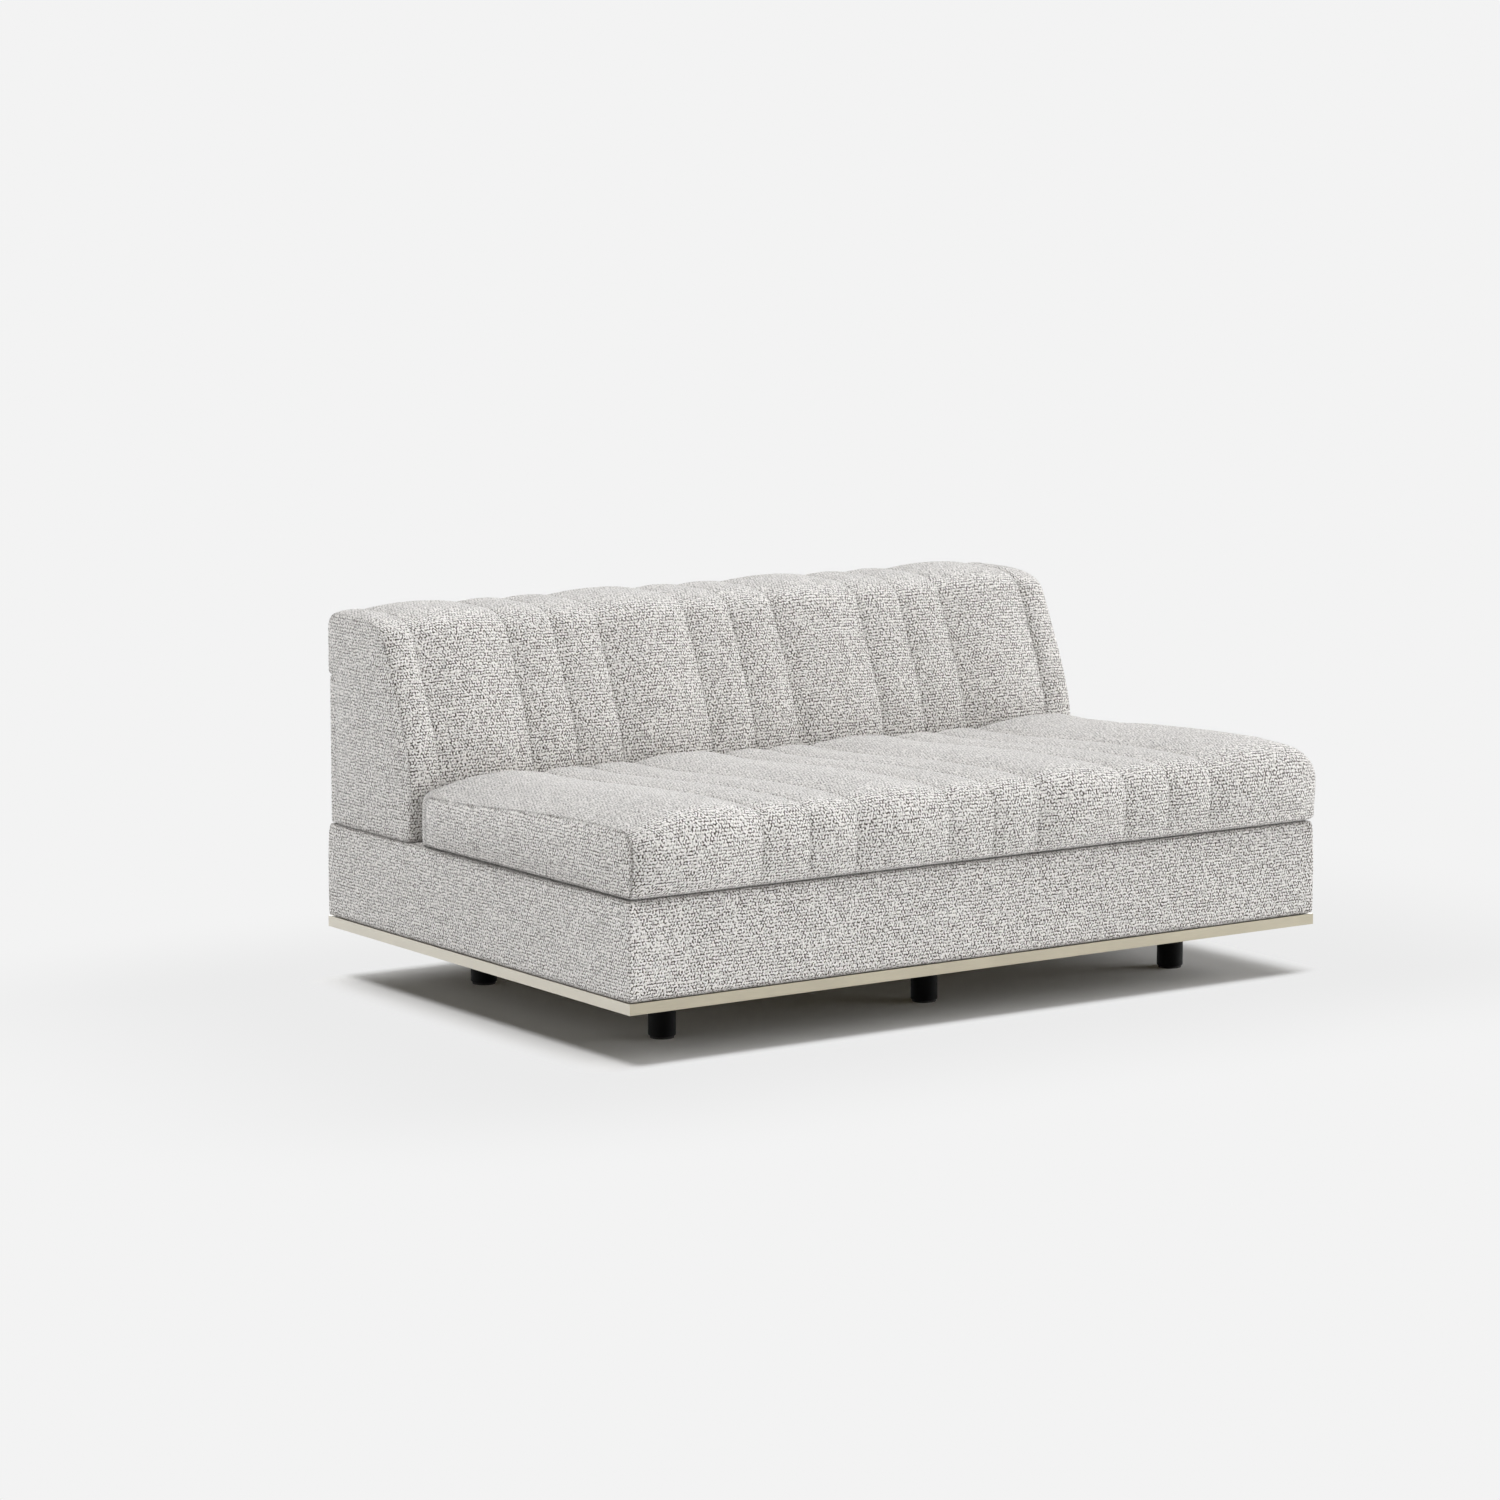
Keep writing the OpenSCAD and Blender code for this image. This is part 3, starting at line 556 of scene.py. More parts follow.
def arc(centre: tuple[float, float], r: float, start: float, end: float, count: int = 9) -> list:
    """Gives the points of an arc, its angles in degrees.

    Args:
        centre: the arc's centre.
        r: its radius.
        start: the angle that it starts at.
        end: the angle that it ends at.
        count: how many points it has.

    Returns:
        The points.
    """
    turn = np.radians(np.linspace(start, end, count))
    return [(centre[0] + r * math.cos(t), centre[1] + r * math.sin(t)) for t in turn]


def curve(a: Sequence, b: Sequence, c: Sequence, d: Sequence, count: int) -> list:
    """Gives the points of a cubic curve.

    Args:
        a: where it starts.
        b: the handle of its start.
        c: the handle of its end.
        d: where it ends.
        count: how many points it has.

    Returns:
        The points.
    """
    t = np.linspace(0, 1, count)[:, None]
    a, b, c, d = (np.asarray(p, float) for p in (a, b, c, d))
    line = (1 - t) ** 3 * a + 3 * (1 - t) ** 2 * t * b + 3 * (1 - t) * t ** 2 * c + t ** 3 * d
    return [tuple(p) for p in line]


def smooth(x: Union[float, np.ndarray]) -> np.ndarray:
    """Eases from 0 to 1 as x goes from 0 to 1."""
    t = np.clip(x, 0.0, 1.0)
    return t * t * (3 - 2 * t)


def ripple(a: np.ndarray, b: np.ndarray, seed: int, reach: float = 1.0) -> np.ndarray:
    """Gives slow uneven waves between about -1 and 1, the same on each run.

    Args:
        a: places along one way, in metres.
        b: places along the other way, in metres.
        seed: which set of waves is used.
        reach: how much longer than usual the waves are.

    Returns:
        The wave's height at each place.
    """
    dice = np.random.default_rng(seed)
    total = 0.0
    for _ in range(7):
        ka, kb = dice.normal(0, 16 / reach, 2)
        total = total + np.sin(ka * a + kb * b + dice.uniform(0, 2 * math.pi))
    return total / 3.2


@dataclass
class Skin:
    """A closed mesh with its cloth map, before it becomes a piece."""

    points: np.ndarray
    faces: np.ndarray
    maps: np.ndarray
    seams: list[np.ndarray] = field(default_factory=list)
    # Darkening at each point, for seams and for painted shade along hems and joints.
    stitched: np.ndarray | None = None
    held: np.ndarray | None = None

    def shell(self) -> bmesh.types.BMesh:
        """Turns the skin into a mesh that can be joined with others.

        Returns:
            The bare shape.
        """
        mesh = bpy.data.meshes.new("part")
        mesh.from_pydata(self.points.tolist(), [], self.faces.tolist())
        shell = bmesh.new()
        shell.from_mesh(mesh)
        bpy.data.meshes.remove(mesh)
        return shell

    def piece(self, name: str, finish: Finish, body: Body, rounds: int = 1) -> bpy.types.Object:
        """Makes the piece, smooth and facing outwards.

        Args:
            name: the piece's name.
            finish: what it wears.
            body: what it rides on.
            rounds: how many times it is subdivided.

        Returns:
            The new object.
        """
        mesh = bpy.data.meshes.new(name)
        mesh.from_pydata(self.points.tolist(), [], self.faces.tolist())
        layer = mesh.uv_layers.new(name=UV_NAME)
        layer.data.foreach_set("uv", self.maps.reshape(-1).astype(np.float32))
        shell = bmesh.new()
        shell.from_mesh(mesh)
        bmesh.ops.recalc_face_normals(shell, faces=shell.faces)
        for face in shell.faces:
            face.smooth = True
        shell.to_mesh(mesh)
        shell.free()
        self.crease(mesh)
        # Writes the darkening for seams and for painted shade along hems and joints.
        if self.stitched is not None:
            seam = mesh.attributes.new(SEAM_AND_SHADE_NAME, "FLOAT", "POINT")
            seam.data.foreach_set("value", self.stitched.astype(np.float32))
        obj = placed(name, mesh)
        if self.held is not None:
            swell(obj, self.held)
        if rounds:
            rounder = obj.modifiers.new("rounding", "SUBSURF")
            rounder.levels = rounder.render_levels = rounds
        return wear(obj, finish, body)

    def crease(self, mesh: bpy.types.Mesh, share: float = 0.55) -> None:
        """Keeps the seams crisp when the mesh is subdivided.

        Args:
            mesh: the piece's mesh.
            share: how crisp they stay, from 0 to 1.
        """
        if not self.seams:
            return
        ring_of = np.full(len(mesh.vertices), -1)
        for number, names in enumerate(self.seams):
            ring_of[names] = number
        ends = np.empty(len(mesh.edges) * 2, int)
        mesh.edges.foreach_get("vertices", ends)
        pair = ring_of[ends.reshape(-1, 2)]
        sharp = (pair[:, 0] >= 0) & (pair[:, 0] == pair[:, 1])
        layer = mesh.attributes.new("crease_edge", "FLOAT", "EDGE")
        layer.data.foreach_set("value", np.where(sharp, share, 0.0).astype(np.float32))


def swell(obj: bpy.types.Object, held: np.ndarray, pressure: float = 4.0, cap: float = 0.004,
          last: int = 20) -> None:
    """Lets the cover swell over its filling as cloth, held where it is sewn, and keeps the result.

    Args:
        obj: the cover, which has no other modifier yet.
        held: how firmly each point is held, from 0 to 1.
        pressure: how hard the filling presses.
        cap: how far a point may move.
        last: the frame that the swelling stops at.
    """
    scene = bpy.context.scene
    group = obj.vertex_groups.new(name="sewn")
    for level in np.unique(held.round(2)):
        names = np.flatnonzero(held.round(2) == level)
        group.add(names.tolist(), float(level), "REPLACE")
    modifier = obj.modifiers.new("filling", "CLOTH")
    cloth = modifier.settings
    cloth.quality, cloth.mass, cloth.air_damping = 5, 0.25, 2.0
    cloth.tension_stiffness = cloth.compression_stiffness = 6.0
    cloth.shear_stiffness, cloth.bending_stiffness = 3.0, 0.05
    cloth.vertex_group_mass, cloth.pin_stiffness = group.name, 1.0
    cloth.use_pressure, cloth.uniform_pressure_force = True, pressure
    cloth.effector_weights.gravity = 0.0
    modifier.collision_settings.use_collision = False
    modifier.point_cache.frame_start, modifier.point_cache.frame_end = 1, last
    for number in range(1, last + 1):
        scene.frame_set(number)
    shown = obj.evaluated_get(bpy.context.evaluated_depsgraph_get())
    count = len(obj.data.vertices) * 3
    before, after = np.empty(count), np.empty(count)
    obj.data.vertices.foreach_get("co", before)
    shown.data.vertices.foreach_get("co", after)
    move = (after - before).reshape(-1, 3)
    far = np.maximum(np.linalg.norm(move, axis=1), 1e-9)
    kept = before.reshape(-1, 3) + move * (cap * np.tanh(far / cap) / far)[:, None]
    LOG.info("%s swelled by %.1f mm on average, %.1f mm at most",
             obj.name, far.mean() * 1000, far.max() * 1000)
    obj.modifiers.remove(modifier)
    obj.vertex_groups.remove(group)
    scene.frame_set(1)
    obj.data.vertices.foreach_set("co", kept.reshape(-1))
    obj.data.update()


def wear(obj: bpy.types.Object, finish: Finish, body: Body) -> bpy.types.Object:
    """Gives a piece its finish and the body that it rides on.

    Args:
        obj: the piece.
        finish: what it wears.
        body: what it rides on.

    Returns:
        The same piece.
    """
    obj.data.materials.clear()
    obj.data.materials.append(finish.material())
    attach(obj, body.value)
    return obj


@dataclass
class Section:
    """The four sides of a closed outline, clockwise in (y, z), and their counts of steps.

    The rear may instead have a point at each of the given levels, from the top down.
    """

    front: Sequence
    top: Sequence
    rear: Sequence
    bottom: Sequence
    across: int
    up: int
    rear_levels: Sequence[float] = ()

    def ring(self) -> np.ndarray:
        """Goes once round the outline.

        Returns:
            Its points, each side without its last point.
        """
        counts = (self.up, self.across, self.up, self.across)
        sides = (self.front, self.top, self.rear, self.bottom)
        parts = [resample(s, n + 1)[:-1] for s, n in zip(sides, counts)]
        if self.rear_levels:
            line = np.asarray(self.rear, float)[::-1]
            level = np.asarray(self.rear_levels)
            parts[2] = np.stack([np.interp(level, line[:, 1], line[:, 0]), level], axis=1)
        return np.concatenate(parts)

    def outward(self) -> np.ndarray:
        """Finds which way each point of the ring faces.

        Returns:
            The outward directions.
        """
        ring = self.ring()
        way = np.roll(ring, -1, axis=0) - np.roll(ring, 1, axis=0)
        way /= np.linalg.norm(way, axis=1)[:, None]
        return np.stack([-way[:, 1], way[:, 0]], axis=1)

    def sides(self) -> np.ndarray:
        """Gives the side of each point: 0 front, 1 top, 2 rear, 3 bottom."""
        return np.repeat([0, 1, 2, 3], [self.up, self.across, self.up, self.across])


def coons(ring: np.ndarray, across: int, up: int) -> np.ndarray:
    """Fills a closed ring with a grid that follows its four sides.

    Args:
        ring: the ring's points: up the front, along the top, down the rear, back along the bottom.
        across: how many steps the top and the bottom have.
        up: how many steps the front and the rear have.

    Returns:
        A grid of points, (across + 1) by (up + 1).
    """
    m = len(ring)
    i, j = np.arange(across + 1), np.arange(up + 1)
    bottom, top = ring[(m - i) % m], ring[up + i]
    front, rear = ring[j], ring[(across + 2 * up - j) % m]
    u, v = (i / across)[:, None, None], (j / up)[None, :, None]
    corners = ((1 - u) * (1 - v) * ring[0] + (1 - u) * v * ring[up]
               + u * v * ring[up + across] + u * (1 - v) * ring[across + 2 * up])
    return ((1 - u) * front[None] + u * rear[None] + (1 - v) * bottom[:, None] + v * top[:, None] - corners)


def cells(grid: np.ndarray) -> np.ndarray:
    """Gives the four corners of each cell of a grid."""
    return np.stack([grid[:-1, :-1], grid[1:, :-1], grid[1:, 1:], grid[:-1, 1:]], axis=2)


def strung(x: np.ndarray, flat: np.ndarray, tall: np.ndarray) -> np.ndarray:
    """Strings an outline along the sofa's width.

    Args:
        x: where the rings are.
        flat: the outline's places from front to rear, the same for all rings or one row for each.
        tall: its heights, given in the same way.

    Returns:
        The rings' points, as (rings, points, 3).
    """
    return np.stack(np.broadcast_arrays(x[:, None], flat, tall), axis=-1)


def tube(rings: np.ndarray, across: int, up: int, bulge: float = 0.0, run: int = 0) -> Skin:
    """Closes a row of rings into a skin, with a filled panel at each end.

    Args:
        rings: the rings' points, as (rings, points, 3).
        across: how many steps a ring's top and bottom have.
        up: how many steps a ring's front and rear have.
        bulge: how far an end panel stands out in its middle.
        run: the axis that the rings are strung along.

    Returns:
        The closed skin with its cloth map.
    """
    n, m = rings.shape[:2]
    at = np.arange(n * m).reshape(n, m)
    after = np.roll(at, -1, axis=1)
    walls = np.stack([at[:-1], at[1:], after[1:], after[:-1]], axis=-1).reshape(-1, 4)
    middle = rings[n // 2]
    length = np.concatenate([[0.0], np.cumsum(np.linalg.norm(
        np.diff(np.vstack([middle, middle[:1]]), axis=0), axis=1))])
    paces = np.linalg.norm(np.diff(rings, axis=0), axis=2)
    along = np.vstack([np.zeros((1, m)), np.cumsum(paces, axis=0)])
    along = along - along[n // 2] + rings[n // 2, :, run].mean()
    here = np.stack([along, np.broadcast_to(length[:-1], (n, m))], axis=-1)
    next_up = np.stack([np.roll(along, -1, axis=1), np.broadcast_to(length[1:], (n, m))], axis=-1)
    maps = np.stack([here[:-1], here[1:], next_up[1:], next_up[:-1]], axis=2).reshape(-1, 4, 2)
    points, faces, all_maps = [rings.reshape(-1, 3)], [walls], [maps]
    count = n * m
    side = 1 if run == 0 else 0
    for end, way in ((0, -1.0), (n - 1, 1.0)):
        grid = coons(rings[end], across, up)
        u = np.linspace(0, 1, across + 1)[:, None]
        v = np.linspace(0, 1, up + 1)[None]
        puff = (4 * u * (1 - u)) ** 0.4 * (4 * v * (1 - v)) ** 0.5
        grid[:, :, run] += way * bulge * puff
        names = np.empty((across + 1, up + 1), int)
        i, j = np.arange(across + 1), np.arange(up + 1)
        names[:, 0], names[:, up] = at[end][(m - i) % m], at[end][up + i]
        names[0, :], names[across, :] = at[end][j], at[end][(across + 2 * up - j) % m]
        inner = (across - 1) * (up - 1)
        names[1:-1, 1:-1] = (count + np.arange(inner)).reshape(across - 1, up - 1)
        count += inner
        points.append(grid[1:-1, 1:-1].reshape(-1, 3))
        quads, corners = cells(names), cells(grid[:, :, [side, 2]])
        if way < 0:
            quads, corners = quads[..., ::-1], corners[..., ::-1, :]
        faces.append(quads.reshape(-1, 4))
        all_maps.append(corners.reshape(-1, 4, 2))
    return Skin(np.vstack(points), np.vstack(faces), np.vstack(all_maps), [at[0], at[-1]])


@dataclass
class Channels:
    """Sewn channels side by side, given by where their seams lie from the middle outwards."""

    steps: tuple[float, ...]
    half: float
    puff_wide: float
    puff_narrow: float
    groove: float = 0.0015
    spacing: float = 0.0125
    thread: float = 0.16
    end_thread: float = 0.5
    wide: float = 0.15
    near: tuple[float, float, float] = (0.0018, 0.0055, 0.0125)
    seam_reach: float = 0.010

    def seams(self) -> list[float]:
        """Gives the seams from the middle to the end."""
        return [0.0, *np.cumsum(self.steps).tolist(), self.half]

    def stations(self) -> tuple[np.ndarray, np.ndarray, np.ndarray]:
        """Spreads stations over the width, closer together at the seams.

        Returns:
            The stations, the puff of the cloth at each, and how deep a seam pulls it in there.
        """
        first, second, third = self.near
        x, puff, pull = [], [], []
        edges = self.seams()
        for a, b in zip(edges[:-1], edges[1:]):
            steps = max(2, round((b - a - 2 * third) / self.spacing))
            middle = np.linspace(a + third, b - third, steps + 1)
            full = self.puff_wide if b - a > self.wide else self.puff_narrow
            for s in (a, a + first, a + second, *middle, b - second, b - first):
                t = (s - a) / (b - a)
                x.append(s)
                puff.append(full * (4 * t * (1 - t)) ** 0.9)
                pull.append(self.groove if s == a else 0.0)
        x.append(edges[-1])
        puff.append(0.0)
        pull.append(self.groove * 0.5)
        right = np.array([x, puff, pull])
        left = right[:, :0:-1] * np.array([[-1.0], [1.0], [1.0]])
        return tuple(np.hstack([left, right]))

    def sew(self, skin: Skin, bare: np.ndarray, hem: np.ndarray) -> None:
        """Marks where thread shows on a cover and where painted shade lies along its lower edge, and how firmly
        the cover is held while it swells.

        Args:
            skin: the cover, which starts with a ring at each station.
            bare: how firmly each point of a ring is held apart from the seams.
            hem: how much painted shade each point gets at the cover's lower edge, where it sits on what is
                below.
        """
        x, _, pull = self.stations()
        inner = np.zeros(len(skin.points) - len(x) * len(bare))
        shown = np.where(pull > 0, self.thread, 0.0)
        shown[[0, -1]] = self.end_thread
        # Thread at the seams, and painted shade along the lower edge.
        skin.stitched = np.maximum(np.concatenate([np.repeat(shown, len(bare)), inner]), hem)
        edges = np.array([way * seam for seam in self.seams() for way in (-1, 1)])
        off = np.abs(x[:, None] - edges[None]).min(axis=1)
        firm = np.maximum((1 - smooth(off / self.seam_reach))[:, None], bare[None])
        skin.held = np.concatenate([firm.reshape(-1), inner])


@dataclass
class SeatCushion:
    """The loose seat cushion: a channelled cover over foam, with a zip in its rear boxing."""

    half: float = 0.746
    front: float = -0.5085
    rear: float = 0.2008
    floor: float = 0.2856
    edge_front: float = 0.4025
    edge_rear: float = 0.3785
    slope_start: float = -0.430
    slope_run: float = 0.560
    nose: float = 0.038
    rear_r: float = 0.022
    foot_r: float = 0.0040
    front_bow: float = 0.002
    hem: float = 0.0018
    front_crown: float = 0.008
    front_run: float = 0.045
    lip_sag: float = -0.0020
    zip_low: float = 0.3148
    zip_high: float = 0.3438
    zip_half: float = 0.668
    zip_depth: float = 0.0112
    zip_round: float = 0.008
    end_lift: float = 0.0035
    end_run: float = 0.012
    low_share: float = 0.35
    rise: float = 0.0185
    rise_run: float = 0.19
    right_run: float = 0.050
    plump: float = 0.005
    plump_from: float = 0.5
    plump_run: float = 0.2
    corner: float = 0.040
    corner_reach: float = 0.115
    end_puff: float = 0.0105
    unevenness: float = 0.16
    channels: Channels = field(default_factory=lambda: Channels(
        (0.098, 0.196, 0.098, 0.098), 0.746, 0.0105, 0.0052, end_thread=1.0))
    across: int = 54
    up: int = 13

    def edge(self, y: float) -> float:
        """Gives the height of the end seam at a place from front to rear."""
        t = np.clip((y - self.slope_start) / self.slope_run, 0, 1) ** 1.25
        return self.edge_front - (self.edge_front - self.edge_rear) * float(smooth(t))

    def section(self) -> Section:
        """Draws the cushion's outline at its end seam.

        Returns:
            The outline.
        """
        f, r, z = self.front, self.rear, self.floor
        lip = z - self.lip_sag
        brow = f - self.front_bow
        wall = [(f - self.front_bow * smooth(t) + self.hem * math.sin(math.pi * min(1.0, t / 0.5)),
                 lip + self.foot_r + t * (self.edge_front - self.nose - lip - self.foot_r))
                for t in np.linspace(0, 1, 12)[1:-1]]
        front = [*arc((f + self.foot_r, lip + self.foot_r), self.foot_r, 270, 180, 5), *wall,
                 *arc((brow + self.nose, self.edge_front - self.nose), self.nose, 180, 90, 9)]
        top = [(y, self.edge(y)) for y in np.linspace(brow + self.nose, r - self.rear_r, 40)]
        rear = [*arc((r - self.rear_r, self.edge_rear - self.rear_r), self.rear_r, 90, 0, 7),
                *arc((r - self.foot_r, z + self.foot_r), self.foot_r, 0, -90, 5)]
        bottom = [(r - self.foot_r, z), (f + 0.014, z), (f + self.foot_r, lip)]
        low, high = self.zip_low, self.zip_high
        levels = [self.edge_rear, self.edge_rear - 0.003, self.edge_rear - 0.009, self.edge_rear - 0.017,
                  high + 0.006, high + 0.0012, high - 0.0008, high - 0.0080, low + 0.0080,
                  low + 0.0008, low - 0.0012, low - 0.012, z + self.foot_r]
        return Section(front, top, rear, bottom, self.across, self.up, levels)

    def rings(self) -> np.ndarray:
        """Shapes the cover from its left end to its right end.

        Returns:
            The cover's rings.
        """
        section = self.section()
        ring, out, side = section.ring(), section.outward(), section.sides()
        x, puff, pull = self.channels.stations()
        y, z = ring[:, 0], ring[:, 1]
        low = self.low_share + (1 - self.low_share) * smooth((z - self.floor - 0.002) / 0.030)
        top_share = np.where(side == 3, 0.0, np.clip(out[:, 1], 0, 1))
        rise_share = np.where(side == 0, np.clip(out[:, 1], 0, 1) ** 1.4, top_share ** 1.2)
        rise_share *= 0.85 + 0.15 * smooth((y - self.front - 0.012) / 0.08)
        puff_share = np.select([side == 0, side == 1], [0.9 * low, 1.0], top_share ** 1.5)
        end = self.half - np.abs(x)
        run = np.where(x > 0, self.right_run, self.rise_run)
        crown = self.rise * np.sin(np.pi / 2 * np.clip(end / run, 0, 1)) ** np.where(x > 0, 0.8, 1.5)
        crown = crown + self.plump * smooth((x - self.plump_from) / self.plump_run) * smooth(end / 0.02)
        step = np.where(end >= self.corner, 0.0,
                        self.corner - np.sqrt(np.maximum(0, self.corner ** 2 - (self.corner - end) ** 2)))
        share = smooth((y - (self.rear - self.corner_reach)) / (self.corner_reach - self.rear_r))
        seat_x, seat_y = np.meshgrid(x, y, indexing="ij")
        uneven = 1 + self.unevenness * ripple(seat_x, seat_y, 4, 0.6)
        front_share = np.where(side == 0, 1.0, 0.0) * low * np.clip(-out[:, 0], 0, 1)
        forward = self.front_crown * np.sin(np.pi / 2 * np.clip(end / self.front_run, 0, 1))
        lift = (np.outer(crown, rise_share) + np.outer(puff, puff_share) * uneven
                + np.outer(forward, front_share) - np.outer(pull, np.where(side == 3, 0.0, low)))
        flat = seat_y + lift * out[:, 0] - np.outer(step, share)
        tall = z + lift * np.where(side == 0, np.clip(out[:, 1], 0, 1), out[:, 1])
        slot = (side == 2) & (z < self.zip_high) & (z > self.zip_low)
        flat -= self.zip_depth * np.outer(smooth((self.zip_half - np.abs(x)) / self.zip_round), slot)
        at_end = np.clip(1 - end / self.end_run, 0, 1) ** 2
        tall += self.end_lift * np.outer(at_end, 1 - smooth((z - self.floor) / 0.02))
        return np.stack([seat_x, flat, tall], axis=-1)

    def build(self) -> bpy.types.Object:
        """Makes the cushion.

        Returns:
            The cushion's object.
        """
        skin = tube(self.rings(), self.across, self.up, self.end_puff)
        section = self.section()
        z, side = section.ring()[:, 1], section.sides()
        bare = np.select([side >= 2, side == 0], [1.0, 1 - smooth((z - self.floor) / 0.02)], 0.0)
        # The bottom few millimetres of the cover get painted shade, where the cushion sits on the base.
        self.channels.sew(skin, bare, 1 - smooth((skin.points[:, 2] - self.floor - 0.002) / 0.003))
        obj = skin.piece("seat_cushion_cover", BOUCLE, Body.CUSHION)
        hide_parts("seat_cover", "seat_foam")
        return obj


@dataclass
class Backrest:
    """The backrest: a cover with channels over its front, top and upper rear, and an outer back panel."""

    half: float = 0.746
    rear: float = 0.5005
    base: float = 0.2852
    crest: float = 0.673
    crest_r: float = 0.029
    crest_depth: float = 0.112
    foot_depth: float = 0.281
    bow_depth: float = 0.309
    bow_rise: float = 0.128
    waist_depth: float = 0.282
    waist_rise: float = 0.172
    shoulder_depth: float = 0.200
    shoulder_drop: float = 0.034
    lip: float = 0.560
    panel_rear: float = 0.4975
    panel_t: float = 0.020
    rise: float = 0.006
    rise_run: float = 0.10
    right_droop: float = 0.003
    end_puff: float = 0.003
    unevenness: float = 0.16
    low_share: float = 0.3
    rear_share: float = 0.35
    belly: float = 0.0025
    end_tuck: float = 0.0015
    channels: Channels = field(default_factory=lambda: Channels(
        (0.098, 0.196, 0.098, 0.098, 0.196), 0.746, 0.0115, 0.0064))
    across: int = 26
    up: int = 38

    def section(self) -> Section:
        """Draws the backrest's outline at its end seam.

        Returns:
            The outline.
        """
        inner = self.panel_rear - self.panel_t - 0.0003
        foot = (self.rear - self.foot_depth, self.base)
        bow = (self.rear - self.bow_depth, self.base + self.bow_rise)
        waist = (self.rear - self.waist_depth, self.base + self.waist_rise)
        shoulder = (self.rear - self.shoulder_depth, self.crest - self.shoulder_drop)
        lean = np.array(shoulder) - np.array(waist)
        lean /= np.linalg.norm(lean)
        brow = tuple(np.array(shoulder) + lean * 0.022)
        front = curve(foot, bow, waist, shoulder, 40)
        flat = (self.rear - self.crest_depth, self.crest)
        top = [*curve(shoulder, brow, (flat[0] - 0.048, self.crest), flat, 16),
               *arc((self.rear - self.crest_r, self.crest - self.crest_r), self.crest_r, 90, 0, 9)]
        rear = [(self.rear, self.crest - self.crest_r), (self.rear, self.lip + 0.003),
                (self.rear - 0.003, self.lip), (inner, self.lip), (inner, self.base)]
        return Section(front, top, rear, [(inner, self.base), foot], self.across, self.up)

    def rings(self) -> np.ndarray:
        """Shapes the cover from its left end to its right end.

        Returns:
            The cover's rings.
        """
        section = self.section()
        ring, out, side = section.ring(), section.outward(), section.sides()
        x, puff, pull = self.channels.stations()
        y, z = ring[:, 0], ring[:, 1]
        low = self.low_share + (1 - self.low_share) * smooth((z - 0.365) / 0.085)
        cover = np.where((side == 2) & (z < self.lip + 0.006), 0.0, 1.0)
        up_share = np.clip(out[:, 1], 0, 1)
        rise_share = np.where(side <= 1, smooth(up_share) * smooth((z - 0.5) / 0.12), 0.0)
        at_front, at_rear = low * (1.0 - 0.4 * up_share ** 2), self.rear_share * cover
        puff_share = np.select([side <= 1, side == 2], [at_front, at_rear], 0.0)
        past_crest = (side == 1) & (out[:, 0] > 0)
        puff_share = np.where(past_crest, self.rear_share + 0.25 * up_share, puff_share)
        end = self.half - np.abs(x)
        crown = self.rise * np.sin(np.pi / 2 * np.clip(end / self.rise_run, 0, 1))
        crown = crown * (0.75 + 0.25 * smooth(x + 0.5))
        crown -= self.right_droop * smooth((x - 0.69) / 0.056)
        wide, way_up = np.meshgrid(x, z + y, indexing="ij")
        uneven = 1 + self.unevenness * ripple(wide, way_up, 9, 0.6)
        lift = np.outer(crown, rise_share) + np.outer(puff, puff_share) * uneven
        lift -= np.outer(pull, np.where(side == 3, 0.0, cover))
        return np.stack([wide, y + lift * out[:, 0], z + lift * out[:, 1]], axis=-1)

    def panel(self) -> bpy.types.Object:
        """Makes the outer back panel, a thin pad with a soft edge.

        Returns:
            The panel.
        """
        y0, y1 = self.panel_rear - self.panel_t, self.panel_rear
        z0, z1 = self.base + 0.0020, self.lip - 0.0015
        r, up, across = 0.005, 22, 4
        section = Section(
            [(y0, z0), (y0, z1)], [(y0, z1), *arc((y1 - r, z1 - r), r, 90, 45, 4)],
            [*arc((y1 - r, z1 - r), r, 45, 0, 4), *arc((y1 - r, z0 + r), r, 0, -45, 4)],
            [*arc((y1 - r, z0 + r), r, -45, -90, 4), (y0, z0)], across, up)
        ring, out, side = section.ring(), section.outward(), section.sides()
        half = self.half - 0.0005
        x = np.concatenate([[-half, -half + 0.003, -half + 0.009],
                            np.linspace(-half + 0.02, half - 0.02, 76), [half - 0.009, half - 0.003, half]])
        tall = (ring[:, 1] - z0) / (z1 - z0)
        belly = self.belly * np.where(side == 2, np.sqrt(np.clip(4 * tall * (1 - tall), 0, 1)), 0.0)
        ends = np.sqrt(np.clip((half - np.abs(x)) / 0.05, 0, 1))
        flat = ring[:, 0] + np.outer(ends, belly) * out[:, 0] - self.end_tuck * np.outer(1 - ends, side == 2)
        obj = tube(strung(x, flat, ring[:, 1]), across, up).piece("outer_back_pad", BOUCLE, Body.BASE)
        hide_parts("outer_back_panel")
        return obj

    def build(self) -> bpy.types.Object:
        """Makes the backrest's cover.

        Returns:
            The cover's object.
        """
        skin = tube(self.rings(), self.across, self.up, self.end_puff)
        section = self.section()
        z, side = section.ring()[:, 1], section.sides()
        bare = np.where(side >= 2, 1.0, 1 - smooth((z - self.base) / 0.03))
        # The bottom few millimetres of the cover get painted shade, where the backrest sits on the base.
        self.channels.sew(skin, bare, 1 - smooth((skin.points[:, 2] - self.base - 0.001) / 0.004))
        obj = skin.piece("backrest_cover", BOUCLE, Body.BASE)
        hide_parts("back_cover", "back_foam", "back_side_left", "back_side_right")
        return obj


